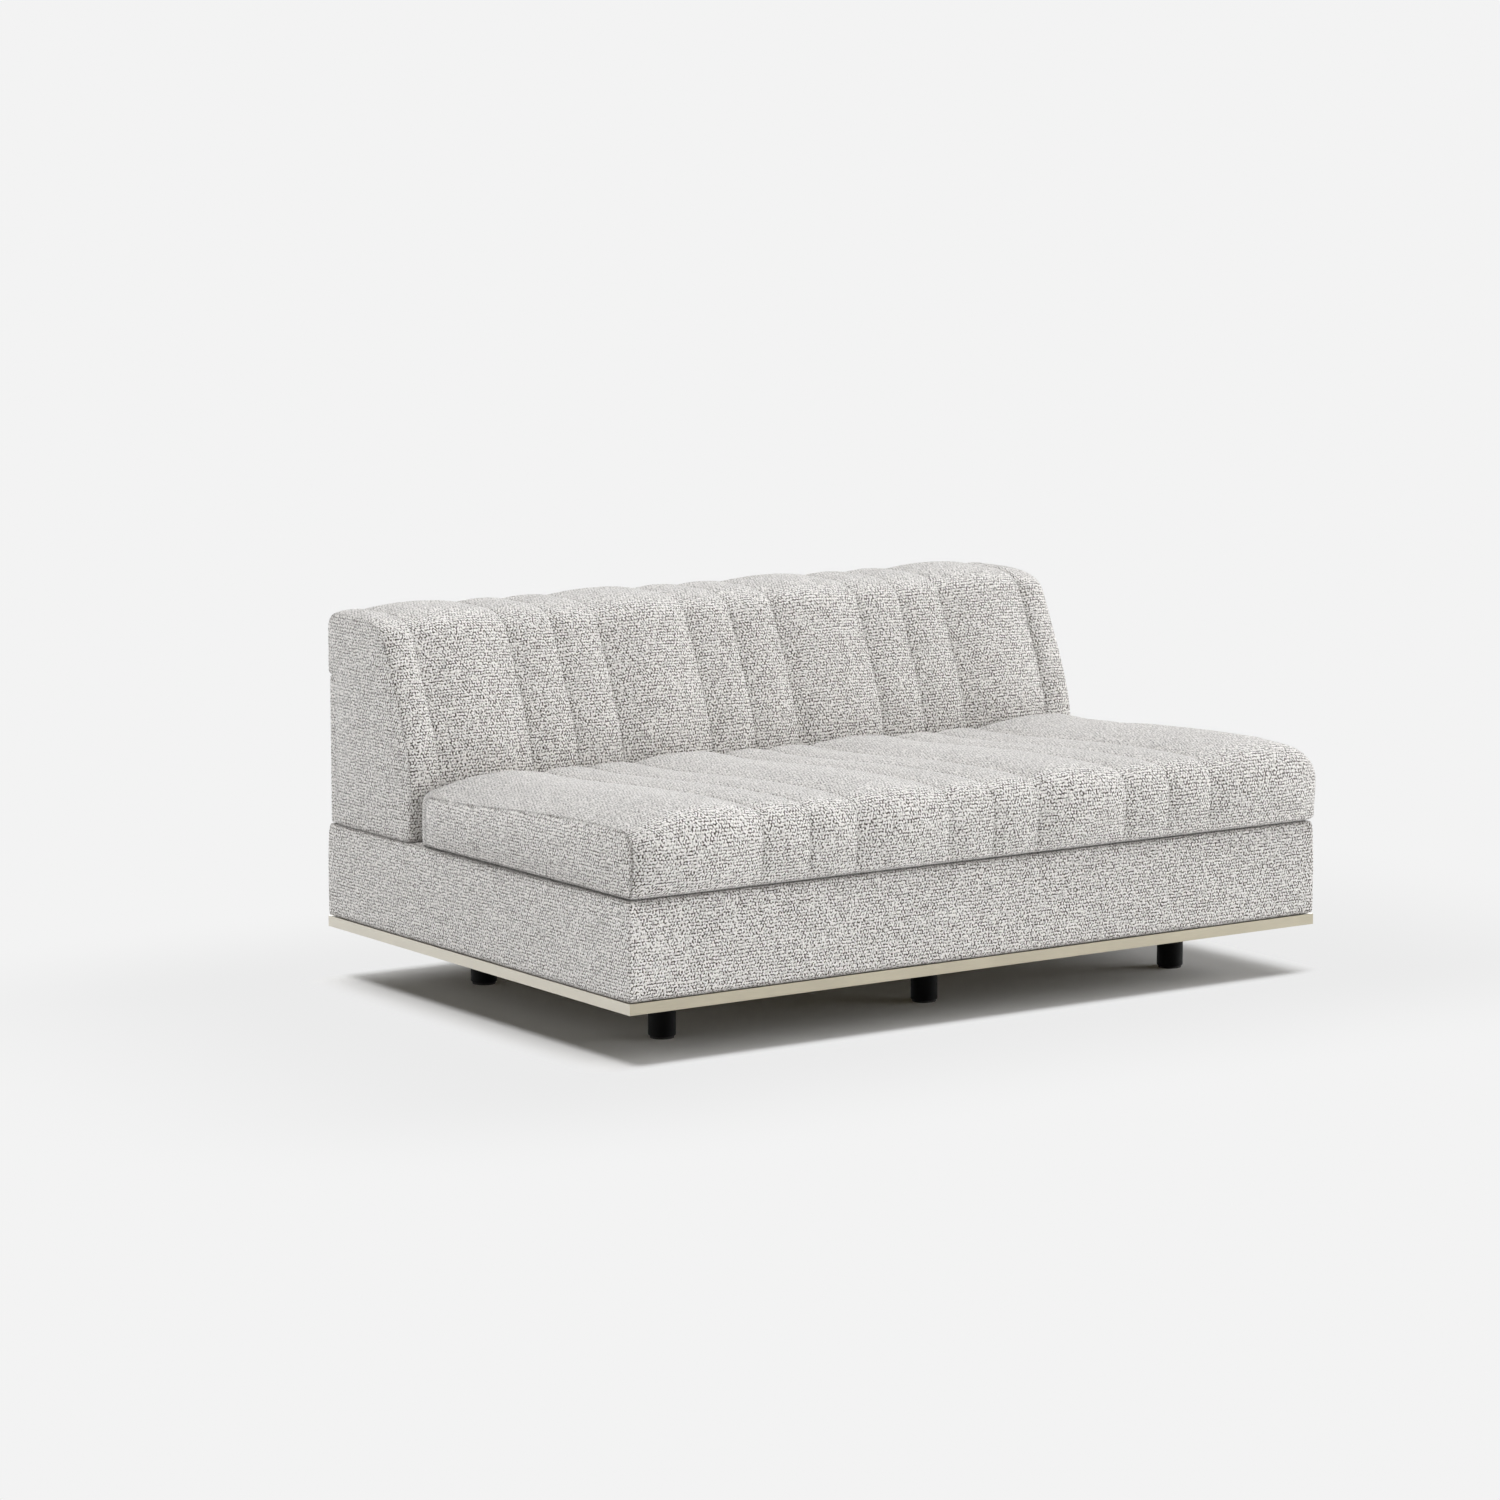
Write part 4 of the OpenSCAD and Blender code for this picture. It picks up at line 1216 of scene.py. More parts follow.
@dataclass
class BaseCovers:
    """The upholstery of the base: four mitred bands, and the deck cover over its pad."""

    half_x: float = 0.7475
    half_y: float = 0.5025
    low: float = 0.1138
    high: float = 0.2850
    thick: float = 0.012
    top_r: float = 0.0075
    corner: float = 0.0045
    reach: float = 0.05
    swell: float = 0.0036
    tuck: float = 0.78
    face: float = 0.006
    low_tuck: float = 0.28
    pace: float = 0.018
    # Painted shade in the joint under the cushion, at the band's top edge.
    top_seam: float = 0.7
    # Painted shade on the band's upper part, below the cushion's overhang.
    shade: float = 0.16
    shade_run: float = 0.034

    def band(self, name: str, node: str, run: int, way: float) -> bpy.types.Object:
        """Makes one band with a soft top edge, a mitred seam at each end, and painted shade along its top and
        bottom.

        Args:
            name: the piece's name.
            node: the CAD node that it stands for.
            run: the axis that it runs along, 0 or 1.
            way: which side of the base it is on, -1 or 1.

        Returns:
            The band's object.
        """
        up, across = 18, 4
        r, foot = self.top_r, 0.0014
        section = Section(
            [*arc((foot, self.low + foot), foot, 225, 180, 4), *arc((r, self.high - r), r, 180, 135, 5)],
            [*arc((r, self.high - r), r, 135, 90, 5), (self.thick, self.high)],
            [(self.thick, self.high), (self.thick, self.low)],
            [(self.thick, self.low), *arc((foot, self.low + foot), foot, 270, 225, 4)], across, up)
        ring = section.ring()
        length, depth = (self.half_x, self.half_y) if run == 0 else (self.half_y, self.half_x)
        seam = self.corner * (1 - math.sqrt(0.5))
        near = [seam, seam + 0.0006, self.corner * 0.6, self.corner, 0.009, 0.016, 0.03, self.reach]
        steps = round((length - self.reach) * 2 / self.pace)
        plain_run = np.linspace(-length + self.reach, length - self.reach, steps)[1:-1]
        spots = [*(-length + d for d in near), *plain_run, *(length - d for d in near[::-1])]
        rings = []
        for s in spots:
            left = length - abs(s)
            inset, z = ring[:, 0], ring[:, 1]
            mitre = np.maximum(inset, seam)
            d = np.full(len(ring), left)
            if left < self.reach:
                d = mitre + (left - seam) * (self.reach - mitre) / (self.reach - seam)
            past = np.maximum(0, self.corner - d)
            turn = self.corner - np.sqrt(np.maximum(0, self.corner ** 2 - past ** 2))
            level = np.clip((z - self.low) / (self.high - self.low), 0, 1)
            bulge = np.where(level < 0.5, 1 - self.low_tuck * np.clip(1 - level / 0.08, 0, 1) ** 2,
                             np.sin(math.pi * np.maximum(level, 0.5)) ** 0.6)
            soft = self.swell * bulge * (inset < self.face)
            d = d - self.tuck * soft * max(0.0, 1 - left / self.reach)
            uneven = 0.0004 * ripple(s + 0 * z, z, 21 + run, 1.2)
            inset = (np.maximum(inset, turn) - soft * (0.7 + 0.3 * math.sqrt(min(1.0, left / 0.03)))
                     + np.where(inset < self.face, uneven, 0.0))
            along = math.copysign(1.0, s) * (length - d)
            beside = way * (depth - inset)
            rings.append(np.stack([along, beside, z] if run == 0 else [beside, along, z], axis=-1))
        skin = tube(np.array(rings), across, up, 0.0, run)
        # Painted shade: dark in the joint at the band's top edge, fading over its upper part below the cushion,
        # and dark along its bottom edge in the gap above the plinth.
        under = self.high - skin.points[:, 2]
        skin.stitched = self.top_seam * (1 - smooth(under / 0.005))
        skin.stitched += self.shade * (1 - smooth(under / self.shade_run))
        skin.stitched += 1 - smooth((skin.points[:, 2] - self.low) / 0.0026)
        obj = skin.piece(name, BOUCLE, Body.BASE)
        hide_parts(node)
        return obj

    def deck(self) -> bpy.types.Object:
        """Makes the deck cover over its pad, stretched inside the bands.

        Returns:
            The cover.
        """
        x1, y1 = self.half_x - self.thick - 0.0003, self.half_y - self.thick - 0.0003
        low, high = self.high - 0.0168, self.high - 0.0002
        across, up = 40, 2
        section = Section([(-y1, low), (-y1, high)], [(-y1, high), (y1, high)],
                          [(y1, high), (y1, low)], [(y1, low), (-y1, low)], across, up)
        rings = strung(np.linspace(-x1, x1, 64), *section.ring().T)
        obj = tube(rings, across, up).piece("deck_pad_cover", BOUCLE, Body.BASE)
        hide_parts("deck_cover", "deck_pad")
        return obj

    def build(self) -> list[bpy.types.Object]:
        """Makes all covers of the base.

        Returns:
            The four bands and the deck cover.
        """
        sides = (("front", 0, -1.0), ("rear", 0, 1.0), ("left", 1, -1.0), ("right", 1, 1.0))
        bands = [self.band(f"{side}_band", f"band_{side}", run, way) for side, run, way in sides]
        return [*bands, self.deck()]


def joined(meshes: Sequence[bmesh.types.BMesh]) -> bmesh.types.BMesh:
    """Puts several meshes into one, and frees them.

    Args:
        meshes: the meshes.

    Returns:
        The mesh of them all.
    """
    whole = bmesh.new()
    for part in meshes:
        holder = bpy.data.meshes.new("part")
        part.to_mesh(holder)
        part.free()
        whole.from_mesh(holder)
        bpy.data.meshes.remove(holder)
    return whole


def settle(name: str, shell: bmesh.types.BMesh, finish: Finish, body: Body,
           bevel: float = 0.0) -> bpy.types.Object:
    """Turns a mesh into a piece.

    Args:
        name: the piece's name.
        shell: its mesh, which is freed.
        finish: what it wears.
        body: what it rides on.
        bevel: how far its sharp edges are rounded.

    Returns:
        The new object.
    """
    bmesh.ops.recalc_face_normals(shell, faces=shell.faces)
    for face in shell.faces:
        face.smooth = bevel == 0.0
    mesh = bpy.data.meshes.new(name)
    shell.to_mesh(mesh)
    shell.free()
    obj = placed(name, mesh)
    if bevel:
        round_off = obj.modifiers.new("edges", "BEVEL")
        round_off.width, round_off.segments, round_off.limit_method = bevel, 2, "ANGLE"
    return wear(obj, finish, body)


def wire(points: Sequence[Sequence[float]], radius: float, around: int = 6,
         closed: bool = False) -> bmesh.types.BMesh:
    """Makes a round wire along a line.

    Args:
        points: the line's points.
        radius: the wire's radius.
        around: how many sides it has.
        closed: whether the line joins its own start.

    Returns:
        The wire's mesh.
    """
    line = np.asarray(points, float)
    count = len(line)
    if closed:
        way = np.roll(line, -1, axis=0) - np.roll(line, 1, axis=0)
    else:
        way = np.gradient(line, axis=0)
    way /= np.linalg.norm(way, axis=1)[:, None]
    off_axis = np.array([0.31, 0.17, 0.94])
    beside = np.cross(way, off_axis)
    beside /= np.linalg.norm(beside, axis=1)[:, None]
    above = np.cross(way, beside)
    shell = bmesh.new()
    turns = np.linspace(0, 2 * math.pi, around, endpoint=False)
    rings = [[shell.verts.new(at + radius * (math.cos(t) * aside + math.sin(t) * up)) for t in turns]
             for at, aside, up in zip(line, beside, above)]
    for i in range(count if closed else count - 1):
        a, b = rings[i], rings[(i + 1) % count]
        for k in range(around):
            shell.faces.new((a[k], a[(k + 1) % around], b[(k + 1) % around], b[k]))
    if not closed:
        shell.faces.new(rings[0])
        shell.faces.new(rings[-1])
    return shell


def mirrored(half: Sequence[tuple[float, float]], middle: float) -> list[tuple[float, float]]:
    """Gives a symmetrical outline from its half, whose heights are counted down from the middle.

    Args:
        half: the lower half's points, as (x, distance from the middle).
        middle: the middle's height.

    Returns:
        The whole outline.
    """
    return [*((x, middle - off) for x, off in half), *((x, middle + off) for x, off in half[::-1])]


def plate(outline: Sequence[tuple[float, float]], low: float, high: float) -> bmesh.types.BMesh:
    """Makes a plate from an outline.

    Args:
        outline: its points in (x, z).
        low: the depth, along y, that it starts at.
        high: the depth that it ends at.

    Returns:
        The plate's mesh.
    """
    shell = bmesh.new()
    near = [shell.verts.new((x, low, z)) for x, z in outline]
    far = [shell.verts.new((x, high, z)) for x, z in outline]
    shell.faces.new(near)
    shell.faces.new(far[::-1])
    for k in range(len(outline)):
        after = (k + 1) % len(outline)
        shell.faces.new((near[k], far[k], far[after], near[after]))
    return shell


@dataclass
class Row:
    """A straight row of one small part, repeated by Geometry Nodes."""

    element: bmesh.types.BMesh
    finish: Finish
    body: Body

    def tree(self) -> bpy.types.NodeTree:
        """Makes the node tree that adds one row to what it is given.

        Returns:
            The tree, with its inputs Element, Count, Start, Step, Turn, Wobble, Seed and Finish.
        """
        tree = bpy.data.node_groups.new("row", "GeometryNodeTree")
        sockets = tree.interface
        sockets.new_socket("Geometry", in_out="INPUT", socket_type="NodeSocketGeometry")
        kinds = {"Element": "Object", "Count": "Int", "Start": "Vector", "Step": "Vector",
                 "Turn": "Vector", "Wobble": "Float", "Seed": "Int", "Finish": "Material"}
        for name, kind in kinds.items():
            sockets.new_socket(name, in_out="INPUT", socket_type=f"NodeSocket{kind}")
        sockets.new_socket("Geometry", in_out="OUTPUT", socket_type="NodeSocketGeometry")
        add = tree.nodes.new
        given, result = add("NodeGroupInput"), add("NodeGroupOutput")
        line, spread = add("GeometryNodeMeshLine"), add("GeometryNodeInstanceOnPoints")
        chance, source = add("FunctionNodeRandomValue"), add("GeometryNodeObjectInfo")
        real, paint = add("GeometryNodeRealizeInstances"), add("GeometryNodeSetMaterial")
        both = add("GeometryNodeJoinGeometry")
        turned, low = add("ShaderNodeVectorMath"), add("ShaderNodeVectorMath")
        line.mode = "OFFSET"
        chance.data_type = "FLOAT_VECTOR"
        low.operation = "SCALE"
        low.inputs["Scale"].default_value = -1.0
        join = tree.links.new
        for name, target in (
            ("Count", line.inputs["Count"]), ("Start", line.inputs["Start Location"]),
            ("Step", line.inputs["Offset"]), ("Element", source.inputs["Object"]),
            ("Wobble", low.inputs[0]), ("Wobble", chance.inputs["Max"]), ("Seed", chance.inputs["Seed"]),
            ("Turn", turned.inputs[0]), ("Finish", paint.inputs["Material"]), ("Geometry", both.inputs[0]),
        ):
            join(given.outputs[name], target)
        join(low.outputs[0], chance.inputs["Min"])
        join(chance.outputs[0], turned.inputs[1])
        join(line.outputs[0], spread.inputs["Points"])
        join(source.outputs["Geometry"], spread.inputs["Instance"])
        join(turned.outputs[0], spread.inputs["Rotation"])
        join(spread.outputs[0], real.inputs[0])
        join(real.outputs[0], paint.inputs["Geometry"])
        join(paint.outputs[0], both.inputs[0])
        join(both.outputs[0], result.inputs[0])
        return tree

    def build(self, name: str, rows: Sequence[dict]) -> bpy.types.Object:
        """Makes one piece of all rows.

        Args:
            name: the piece's name.
            rows: the values of each row, by the names of the tree's inputs.

        Returns:
            The piece.
        """
        seed_mesh = bpy.data.meshes.new("element")
        bmesh.ops.recalc_face_normals(self.element, faces=self.element.faces)
        for face in self.element.faces:
            face.smooth = True
        self.element.to_mesh(seed_mesh)
        self.element.free()
        seed = placed("element", seed_mesh)
        holder = placed("rows", bpy.data.meshes.new("rows"))
        tree = self.tree()
        names = {item.name: item.identifier for item in tree.interface.items_tree if item.in_out == "INPUT"}
        for number, values in enumerate(rows):
            repeat = holder.modifiers.new(f"row{number}", "NODES")
            repeat.node_group = tree
            full = {"Element": seed, "Finish": self.finish.material(), "Seed": number, "Wobble": 0.0,
                    "Turn": (0.0, 0.0, 0.0), **values}
            for key, value in full.items():
                repeat[names[key]] = value
        graph = bpy.context.evaluated_depsgraph_get()
        graph.update()
        obj = placed(name, bpy.data.meshes.new_from_object(holder.evaluated_get(graph)))
        for spare in (holder, seed):
            bpy.data.objects.remove(spare)
        return wear(obj, self.finish, self.body)


@dataclass
class Straps:
    """The elastic straps under the deck and across the backrest's ribs."""

    width: float = 0.060
    thick: float = 0.0015
    pitch: float = 0.120
    level: float = 0.2665
    weave: float = 0.0009
    sag: float = 0.004
    margin: float = 0.001

    def ribbon(self, line: np.ndarray, beside: Sequence[float], face: Sequence[float],
               run: int) -> bmesh.types.BMesh:
        """Makes one strap along a line.

        Args:
            line: the strap's middle line.
            beside: the direction across its width.
            face: the direction that its face looks in.
            run: the axis that it mostly runs along.

        Returns:
            The strap's mesh.
        """
        w, t = self.width / 2, self.thick / 2
        across, up = 6, 1
        ring = Section([(-w, -t), (-w, t)], [(-w, t), (w, t)], [(w, t), (w, -t)], [(w, -t), (-w, -t)],
                       across, up).ring()
        rings = line[:, None, :] + ring[None, :, :1] * np.asarray(beside)
        rings = rings + ring[None, :, 1:] * np.asarray(face)
        return tube(rings, across, up, 0.0, run).shell()

    def places(self, node: str, axis: int) -> tuple[np.ndarray, tuple, tuple]:
        """Finds the middles of a node's straps.

        Args:
            node: the CAD node.
            axis: the axis that the straps are spread along.

        Returns:
            The middles along that axis, and the node's lowest and highest corner.
        """
        low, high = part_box(node)
        count = round((high[axis] - low[axis] - self.width) / self.pitch) + 1
        first = low[axis] + self.width / 2
        return first + self.pitch * np.arange(count), low, high

    def deck(self, node: str, axis: int, phase: int) -> bpy.types.Object:
        """Makes the straps that run one way under the deck, over and under the others.

        Args:
            node: the CAD node that they stand for.
            axis: the axis that they are spread along.
            phase: which of them pass over first.

        Returns:
            The straps.
        """
        middles, low, high = self.places(node, axis)
        run = 1 - axis
        along = np.linspace(low[run], high[run], 90)
        end_level = (low[2] + high[2]) / 2
        other, _, _ = self.places("webbing_crosswise" if axis == 1 else "webbing_lengthwise", run)
        straps = []
        for number, middle in enumerate(middles):
            weave = self.weave * np.cos(math.pi * ((along - other[0]) / self.pitch + number + phase))
            near = smooth(np.minimum(along - low[run], high[run] - along) / 0.04)
            sag = self.sag * np.sin(math.pi * (along - low[run]) / (high[run] - low[run])) ** 0.5
            height = end_level + (self.level - end_level + weave) * near - sag * near
            line = np.zeros((len(along), 3))
            line[:, axis], line[:, run], line[:, 2] = middle, along, height
            straps.append(self.ribbon(line, np.eye(3)[axis], (0, 0, 1), run))
        obj = settle(f"{node}_straps", joined(straps), WEBBING, Body.BASE)
        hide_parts(node)
        return obj

    def back(self) -> bpy.types.Object:
        """Makes the straps that the backrest's foam leans on.

        Returns:
            The straps.
        """
        middles, low, high = self.places("back_webbing", 0)
        deep, tall = high[1] - low[1] - 2 * self.margin, high[2] - low[2]
        lean = math.atan2(deep, tall)
        t = np.linspace(0, 1, 30)
        y = low[1] + self.margin + deep * t + self.sag * np.sin(math.pi * t)
        straps = []
        for middle in middles:
            line = np.stack([np.full_like(t, middle), y, low[2] + tall * t], axis=1)
            straps.append(self.ribbon(line, (1, 0, 0), (0, math.cos(lean), -math.sin(lean)), 2))
        obj = settle("back_webbing_straps", joined(straps), WEBBING, Body.BASE)
        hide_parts("back_webbing")
        return obj

    def build(self) -> list[bpy.types.Object]:
        """Makes all straps."""
        return [self.deck("webbing_lengthwise", 1, 0), self.deck("webbing_crosswise", 0, 1), self.back()]


@dataclass
class DustCover:
    """The thin black cloth under the base, with a hole for each foot, held by staples."""

    thick: float = 0.0008
    sag: float = 0.003
    hole: float = 0.025
    steps: int = 12
    rounds: int = 8
    staple: float = 0.011
    staple_pitch: float = 0.058
    staple_inset: float = 0.03
    edge: float = 0.008
    free_run: float = 0.2
    clear: float = 0.0002
    slant: float = 0.12
    wobble: float = 0.06

    def feet(self) -> list[tuple[float, float]]:
        """Finds the middle of each foot.

        Returns:
            The middles, row by row.
        """
        spots = []
        for row in ("front", "rear"):
            for side in ("left", "middle", "right"):
                low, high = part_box(f"foot_{row}_{side}")
                spots.append(((low[0] + high[0]) / 2, (low[1] + high[1]) / 2))
        return spots

    def build(self) -> list[bpy.types.Object]:
        """Makes the cloth and its staples.

        Returns:
            The cloth and the staples.
        """
        low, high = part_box("dust_cover")
        feet = self.feet()
        xs = [low[0], (feet[0][0] + feet[1][0]) / 2, (feet[1][0] + feet[2][0]) / 2, high[0]]
        ys = [low[1], (feet[0][1] + feet[3][1]) / 2, high[1]]
        near, far = np.array(low[:2]), np.array(high[:2])
        run = np.linspace(0, 1, self.steps + 1)[:-1, None]
        shell = bmesh.new()
        for number, foot in enumerate(feet):
            x0, x1 = xs[number % 3], xs[number % 3 + 1]
            y0, y1 = ys[number // 3], ys[number // 3 + 1]
            corners = np.array([(x0, y0), (x1, y0), (x1, y1), (x0, y1)])
            rim = np.concatenate([a + (b - a) * run for a, b in zip(corners, np.roll(corners, -1, axis=0))])
            away = rim - np.array(foot)
            ring = np.array(foot) + self.hole * away / np.linalg.norm(away, axis=1)[:, None]
            rows = []
            for share in np.linspace(0, 1, self.rounds + 1) ** 1.4:
                at = ring + (rim - ring) * share
                free = np.prod(np.clip(np.minimum(at - near, far - at) / self.free_run, 0, 1), axis=1)
                drop = self.sag * free * smooth(share) * (1 + 0.3 * ripple(at[:, 0], at[:, 1], 31, 1.5))
                top = high[2] - self.clear
                rows.append([shell.verts.new((x, y, top - d)) for (x, y), d in zip(at, drop)])
            for a, b in zip(rows[:-1], rows[1:]):
                for k in range(len(a)):
                    after = (k + 1) % len(a)
                    shell.faces.new((a[k], a[after], b[after], b[k]))
        bmesh.ops.remove_doubles(shell, verts=shell.verts, dist=1e-5)
        bmesh.ops.recalc_face_normals(shell, faces=shell.faces)
        if sum(face.normal.z for face in shell.faces) < 0:
            bmesh.ops.reverse_faces(shell, faces=shell.faces)
        bmesh.ops.solidify(shell, geom=shell.faces, thickness=self.thick)
        cloth = settle("dust_cloth", shell, DUST_CLOTH, Body.BASE)
        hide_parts("dust_cover")
        return [cloth, self.staples(low, high)]

    def staples(self, low: Sequence[float], high: Sequence[float]) -> bpy.types.Object:
        """Makes the staples round the cloth's edge.

        Args:
            low: the cloth's lowest corner.
            high: its highest corner.

        Returns:
            The staples.
        """
        half, z, quarter = self.staple / 2, low[2] - 0.0001, math.pi / 2
        crown = wire([(-half, 0, 0.001), (-half, 0, 0.0002), (-half + 0.0006, 0, 0), (half - 0.0006, 0, 0),
                      (half, 0, 0.0002), (half, 0, 0.001)], 0.0005)
        rows = []
        for axis, at, turn in ((0, low[1] + self.edge, 0.0), (0, high[1] - self.edge, 0.0),
                               (1, low[0] + self.edge, quarter), (1, high[0] - self.edge, quarter)):
            first, last = low[axis] + self.staple_inset, high[axis] - self.staple_inset
            count = round((last - first) / self.staple_pitch) + 1
            start = (first, at, z) if axis == 0 else (at, first, z)
            gap = (last - first) / (count - 1)
            step = (gap, 0.0, 0.0) if axis == 0 else (0.0, gap, 0.0)
            rows.append({"Count": count, "Start": start, "Step": step,
                         "Turn": (0.0, 0.0, turn + self.slant), "Wobble": self.wobble})
        return Row(crown, ZINC, Body.BASE).build("dust_cloth_staples", rows)


@dataclass
class Zip:
    """The zip in the cushion's rear boxing: two tapes, a coil and a slider with its pull."""

    pitch: float = 0.0018
    wire_r: float = 0.00038
    loop_r: float = 0.0011
    gap: float = 0.0012
    waves: float = 0.00025
    pull: float = 0.019

    def tapes(self) -> bpy.types.Object:
        """Makes the two woven tapes with their folded edges.

        Returns:
            The tapes.
        """
        low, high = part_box("zip_tape")
        middle = (low[2] + high[2]) / 2
        x = np.linspace(low[0], high[0], 220)
        strips = []
        for way in (-1, 1):
            inner, outer = middle + way * self.gap, middle + way * (high[2] - middle)
            edge = [(inner, high[1] - 0.0002), (inner + way * 0.0012, high[1]),
                    (outer - way * 0.002, high[1]), (outer, high[1] - 0.0004)]
            section = Section([(low[1], outer), (low[1], inner)], [(low[1], inner), (edge[0][1], inner)],
                              [(y, z) for z, y in edge], [(edge[-1][1], outer), (low[1], outer)], 1, 6)
            ring = section.ring()
            waves = self.waves * ripple(x, 0 * x, 41 + way, 0.5)
            flat = ring[:, 0] + np.outer(waves, np.where(ring[:, 0] > low[1] + 0.0003, 1.0, 0.0))
            strips.append(tube(strung(x, flat, ring[:, 1]), 1, 6).shell())
        obj = settle("zip_tapes", joined(strips), ZIP_TAPE, Body.CUSHION)
        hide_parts("zip_tape")
        return obj

    def coil(self) -> bpy.types.Object:
        """Makes the interlocked coil, one loop after another on either side.

        Returns:
            The coil.
        """
        low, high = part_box("zip_teeth")
        y, z = (low[1] + high[1]) / 2, (low[2] + high[2]) / 2
        turns = np.linspace(0, 2 * math.pi, 8, endpoint=False)
        reach = (high[2] - low[2]) / 2 - self.wire_r
        loops = []
        for way in (-1, 1):
            line = [(0.25 * self.pitch * math.sin(t), (high[1] - y - self.wire_r) * math.sin(t),
                     way * (reach - self.loop_r + self.loop_r * math.cos(t))) for t in turns]
            loops.append([(px + (way > 0) * self.pitch / 2, py, pz) for px, py, pz in line])
        element = joined([wire(line, self.wire_r, 4, True) for line in loops])
        count = int((high[0] - low[0] - 0.004) / self.pitch)
        obj = Row(element, ZIP_COIL, Body.CUSHION).build("zip_coil", [
            {"Count": count, "Start": (low[0] + 0.0015, y, z), "Step": (self.pitch, 0.0, 0.0)}])
        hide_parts("zip_teeth")
        return obj

    def slider(self) -> bpy.types.Object:
        """Makes the slider: a saddle, a bridge on it and a pull that lies along the zip.

        Returns:
            The slider.
        """
        low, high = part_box("zip_slider")
        z, r = (low[2] + high[2]) / 2, (high[2] - low[2]) / 2
        nose, tail = high[0], low[0]
        outline = [(tail, 0.6 * r), (tail + 0.004, 0.8 * r), (nose - 0.005, r), (nose - 0.002, 0.85 * r),
                   (nose, 0.3 * r)]
        parts = [plate(mirrored(outline, z), high[1] - 0.0014, high[1])]
        for way in (-1, 1):
            back, front, sheet = tail + 0.001, nose - 0.005, 0.0009
            wall = [(back, z + way * 0.62 * r), (front, z + way * 0.95 * r),
                    (front, z + way * (0.95 * r - sheet)), (back, z + way * (0.62 * r - sheet))]
            parts.append(plate(wall, low[1], high[1] - 0.0010))
        bridge = [(tail + 0.004 + 0.0045 * (1 - math.cos(t)), high[1] - 0.0004 + 0.0022 * math.sin(t), z)
                  for t in np.linspace(0, math.pi, 9)]
        parts.append(wire(bridge, 0.0007, 8))
        tab_y = high[1] + 0.0006
        hinge, end = tail + 0.0075, tail - self.pull
        ring = [(hinge - 0.003 + 0.003 * math.cos(t), tab_y + 0.0003, z + 0.0024 * math.sin(t))
                for t in np.linspace(0, 2 * math.pi, 14, endpoint=False)]
        parts.append(wire(ring, 0.0006, 6, True))
        tab = mirrored([(hinge - 0.0055, 0.0018), (end + 0.002, 0.0032), (end, 0.0018)], z)
        parts.append(plate(tab, tab_y - 0.0004, tab_y + 0.0008))
        obj = settle("zip_slider_body", joined(parts), ZIP_METAL, Body.ZIP_PULL, 0.0003)
        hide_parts("zip_slider")
        return obj

    def build(self) -> list[bpy.types.Object]:
        """Makes the whole zip."""
        return [self.tapes(), self.coil(), self.slider()]


@dataclass
class Carcass:
    """The hard parts that keep their CAD shape and get their real finishes."""

    def finishes(self) -> dict[str, Finish]:
        """Finds the finish of each carried-over node.

        Returns:
            The finish whose key is the longest beginning of the node's name.
        """
        worn = {
            "foot_": BLACK_FOOT, "foot_glides": GLIDE_FELT, "foot_studs": ZINC, "foot_tnuts": ZINC,
            "foot_board": SOFTWOOD, "plinth_bar": CHAMPAGNE, "plinth_screws": ZINC, "rail_": SOFTWOOD,
            "corner_blocks": SOFTWOOD, "frame_screws": ZINC, "link_inserts": ZINC, "backrest_shelf": PLYWOOD,
            "back_bottom_board": PLYWOOD, "back_rib": PLYWOOD, "back_top_rail": SOFTWOOD,
            "back_rear_rail": SOFTWOOD, "back_bolts": ZINC, "back_tnuts": ZINC,
        }
        chosen = {}
        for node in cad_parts:
            fitting = [key for key in worn if node.startswith(key)]
            if fitting:
                chosen[node] = worn[max(fitting, key=len)]
        return chosen

    def build(self) -> None:
        """Paints the carried-over nodes."""
        for node, finish in self.finishes().items():
            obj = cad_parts[node]
            obj.data.materials.clear()
            obj.data.materials.append(finish.material())


@dataclass(frozen=True)
class Lamp:
    """A wide, far lamp: its power, its spread in degrees and where its light comes from."""

    name: str
    power: float
    spread: float
    comes_from: tuple[float, float, float]


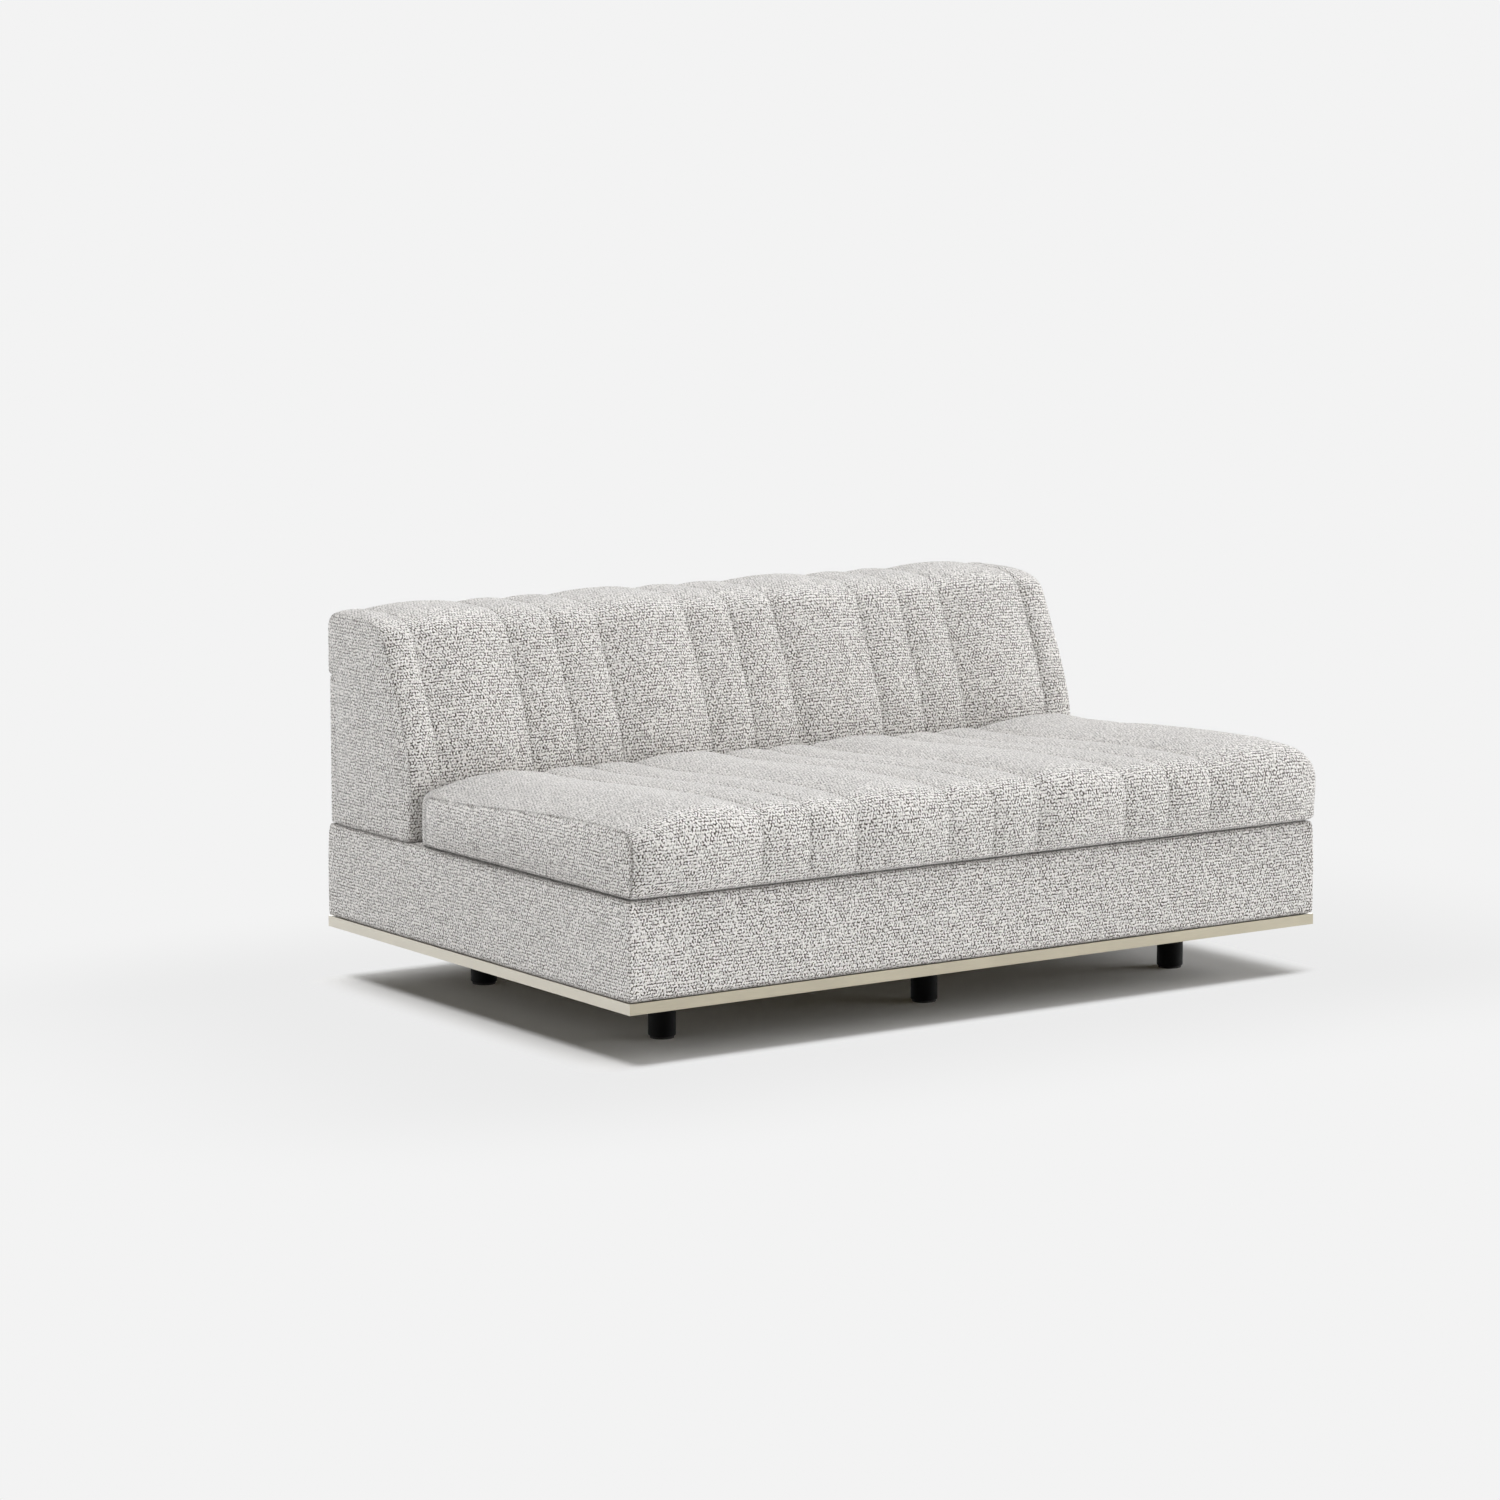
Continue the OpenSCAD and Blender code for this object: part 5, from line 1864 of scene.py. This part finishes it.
@dataclass
class Studio:
    """The pale floor, the soft light and the camera, which stands where the photograph's did."""

    turn: float = math.radians(34.587)
    tilt: float = math.radians(8.283)
    place: tuple[float, float, float] = (-4.9834, -6.9965, 1.6678)
    lens: float = 114.02
    backdrop: float = 0.896
    mirrored: tuple[float, float] = (0.29, 2.6)
    lamps: tuple[Lamp, ...] = (
        Lamp("key", 1.44, 19.0, (-0.30, -0.13, 1.0)),
        Lamp("right_low", 1.05, 50.0, (0.96, -0.2, 0.14)),
        Lamp("right_high", 1.96, 40.0, (0.85, -0.5, 0.3)),
        Lamp("left_side", 0.57, 50.0, (-0.9, -0.1, 0.3)),
        Lamp("rear_high", 1.50, 50.0, (0.1, 0.62, 0.78)),
    )
    floor_tone: float = 0.86
    # Painted shade: the camera-only floor glow is this bright next to the sofa, brighter further off.
    near_floor: float = 0.83
    # Warm camera-only glow on the floor near the sofa: painted bounce light that lifts the shadows.
    floor_lift: tuple[float, float, float] = (0.014, 0.011, 0.005)
    floor_size: float = 30.0
    shaded: tuple[float, float] = (0.730, 0.460)
    shade_shift: float = 0.015
    fore_share: float = 1.6

    def camera(self) -> None:
        """Sets the camera where the photograph's was."""
        lens = bpy.data.cameras.new("camera")
        lens.lens, lens.sensor_width, lens.sensor_fit = self.lens, 36.0, "HORIZONTAL"
        lens.clip_end = 100.0
        obj = placed("camera", lens)
        obj.location = self.place
        obj.rotation_euler = (math.pi / 2 - self.tilt, 0.0, -self.turn)
        bpy.context.scene.camera = obj

    def world(self) -> None:
        """Shows the pale backdrop to the camera and a room in metal; all light comes from the lamps."""
        world = bpy.data.worlds.new("studio")
        bpy.context.scene.world = world
        w = Weaver(world, "OutputWorld", "Background")
        path = w.add("LightPath").outputs
        _, y, _ = w.split(w.add("TexCoord").outputs["Generated"])
        room = w.sum("MULTIPLY", path["Is Glossy Ray"], w.ramp(y, -0.6, 0.6, *self.mirrored, kind="LINEAR"))
        seen = w.sum("MULTIPLY_ADD", path["Is Camera Ray"], self.backdrop, room)
        w.feed(w.shader.inputs["Color"], (1.0, 1.0, 1.0))
        w.join(seen, w.shader.inputs["Strength"])

    def light(self) -> None:
        """Adds the soft lamps."""
        for lamp in self.lamps:
            sun = bpy.data.lights.new(lamp.name, "SUN")
            sun.energy, sun.angle = lamp.power, math.radians(lamp.spread)
            x, y, z = np.array(lamp.comes_from) / np.linalg.norm(lamp.comes_from)
            placed(lamp.name, sun).rotation_euler = (math.acos(z), 0.0, math.atan2(y, x) + math.pi / 2)

    def floor(self) -> None:
        """Lays the floor. Away from the sofa a camera-only glow paints it evenly lit, which cuts off the outer
        edge of the sofa's shadow and is a little darker near the sofa as painted shade; a faint warm
        camera-only glow over the real floor is painted bounce light that lifts its shadows.
        """
        mesh = bpy.data.meshes.new("floor")
        size = self.floor_size
        corners = [(-size, -size, 0), (size, -size, 0), (size, size, 0), (-size, size, 0)]
        mesh.from_pydata(corners, [], [(0, 1, 2, 3)])
        obj = placed("floor", mesh)
        material = bpy.data.materials.new("floor")
        mesh.materials.append(material)
        w = Weaver(material)
        speck, _ = w.noise(w.place(), 40.0, 3.0)
        tone = (self.floor_tone,) * 3
        dark = tuple(c * 0.992 for c in tone)
        w.surface(w.blend(w.ramp(speck, 0.3, 0.7), dark, tone), 0.9, Specular_IOR_Level=0.1)
        x, y, _ = w.split(w.place())
        half_x, half_y = self.shaded
        beside = w.sum("SUBTRACT", w.sum("ABSOLUTE", w.sum("ADD", x, self.shade_shift)), half_x)
        beside = w.sum("MAXIMUM", beside, 0.0)
        before = w.sum("MAXIMUM", w.sum("SUBTRACT", w.sum("ABSOLUTE", y), half_y), 0.0)
        before = w.sum("MULTIPLY", before, self.fore_share)
        squares = w.sum("MULTIPLY_ADD", beside, beside, w.sum("MULTIPLY", before, before))
        far = w.sum("SQRT", squares)
        by_camera = w.add("LightPath").outputs["Is Camera Ray"]
        # Camera-only glows: one paints the floor evenly lit away from the sofa, darker close to it as painted
        # shade; the other is painted warm bounce light over the real floor.
        glow, lift = w.add("Emission"), w.add("Emission")
        w.join(w.ramp(far, 0.1, 1.1, self.near_floor, self.backdrop), glow.inputs["Strength"])
        lift.inputs["Color"].default_value = (*self.floor_lift, 1.0)
        w.join(by_camera, lift.inputs["Strength"])
        both, mix = w.add("AddShader"), w.add("MixShader")
        w.join(w.shader.outputs[0], both.inputs[0])
        w.join(lift.outputs[0], both.inputs[1])
        w.join(w.sum("MULTIPLY", w.ramp(far, 0.0, 0.085), by_camera), mix.inputs[0])
        w.join(both.outputs[0], mix.inputs[1])
        w.join(glow.outputs[0], mix.inputs[2])
        w.join(mix.outputs[0], w.out.inputs["Surface"])

    def build(self) -> None:
        """Makes the whole studio."""
        bpy.context.scene.view_settings.view_transform = "Standard"
        self.camera()
        self.world()
        self.light()
        self.floor()


def main() -> None:
    """Builds the studio and every piece."""
    logging.basicConfig(level=logging.INFO, format="%(message)s")
    Studio().build()
    Carcass().build()
    pieces, back = BaseCovers().build(), Backrest()
    pieces += [back.build(), back.panel(), SeatCushion().build()]
    pieces += [*Straps().build(), *DustCover().build(), *Zip().build()]
    for obj in pieces:
        LOG.info("%s: %d points, wears %s", obj.name, len(obj.data.vertices), obj.data.materials[0].name)


if __name__ == "__main__":
    main()
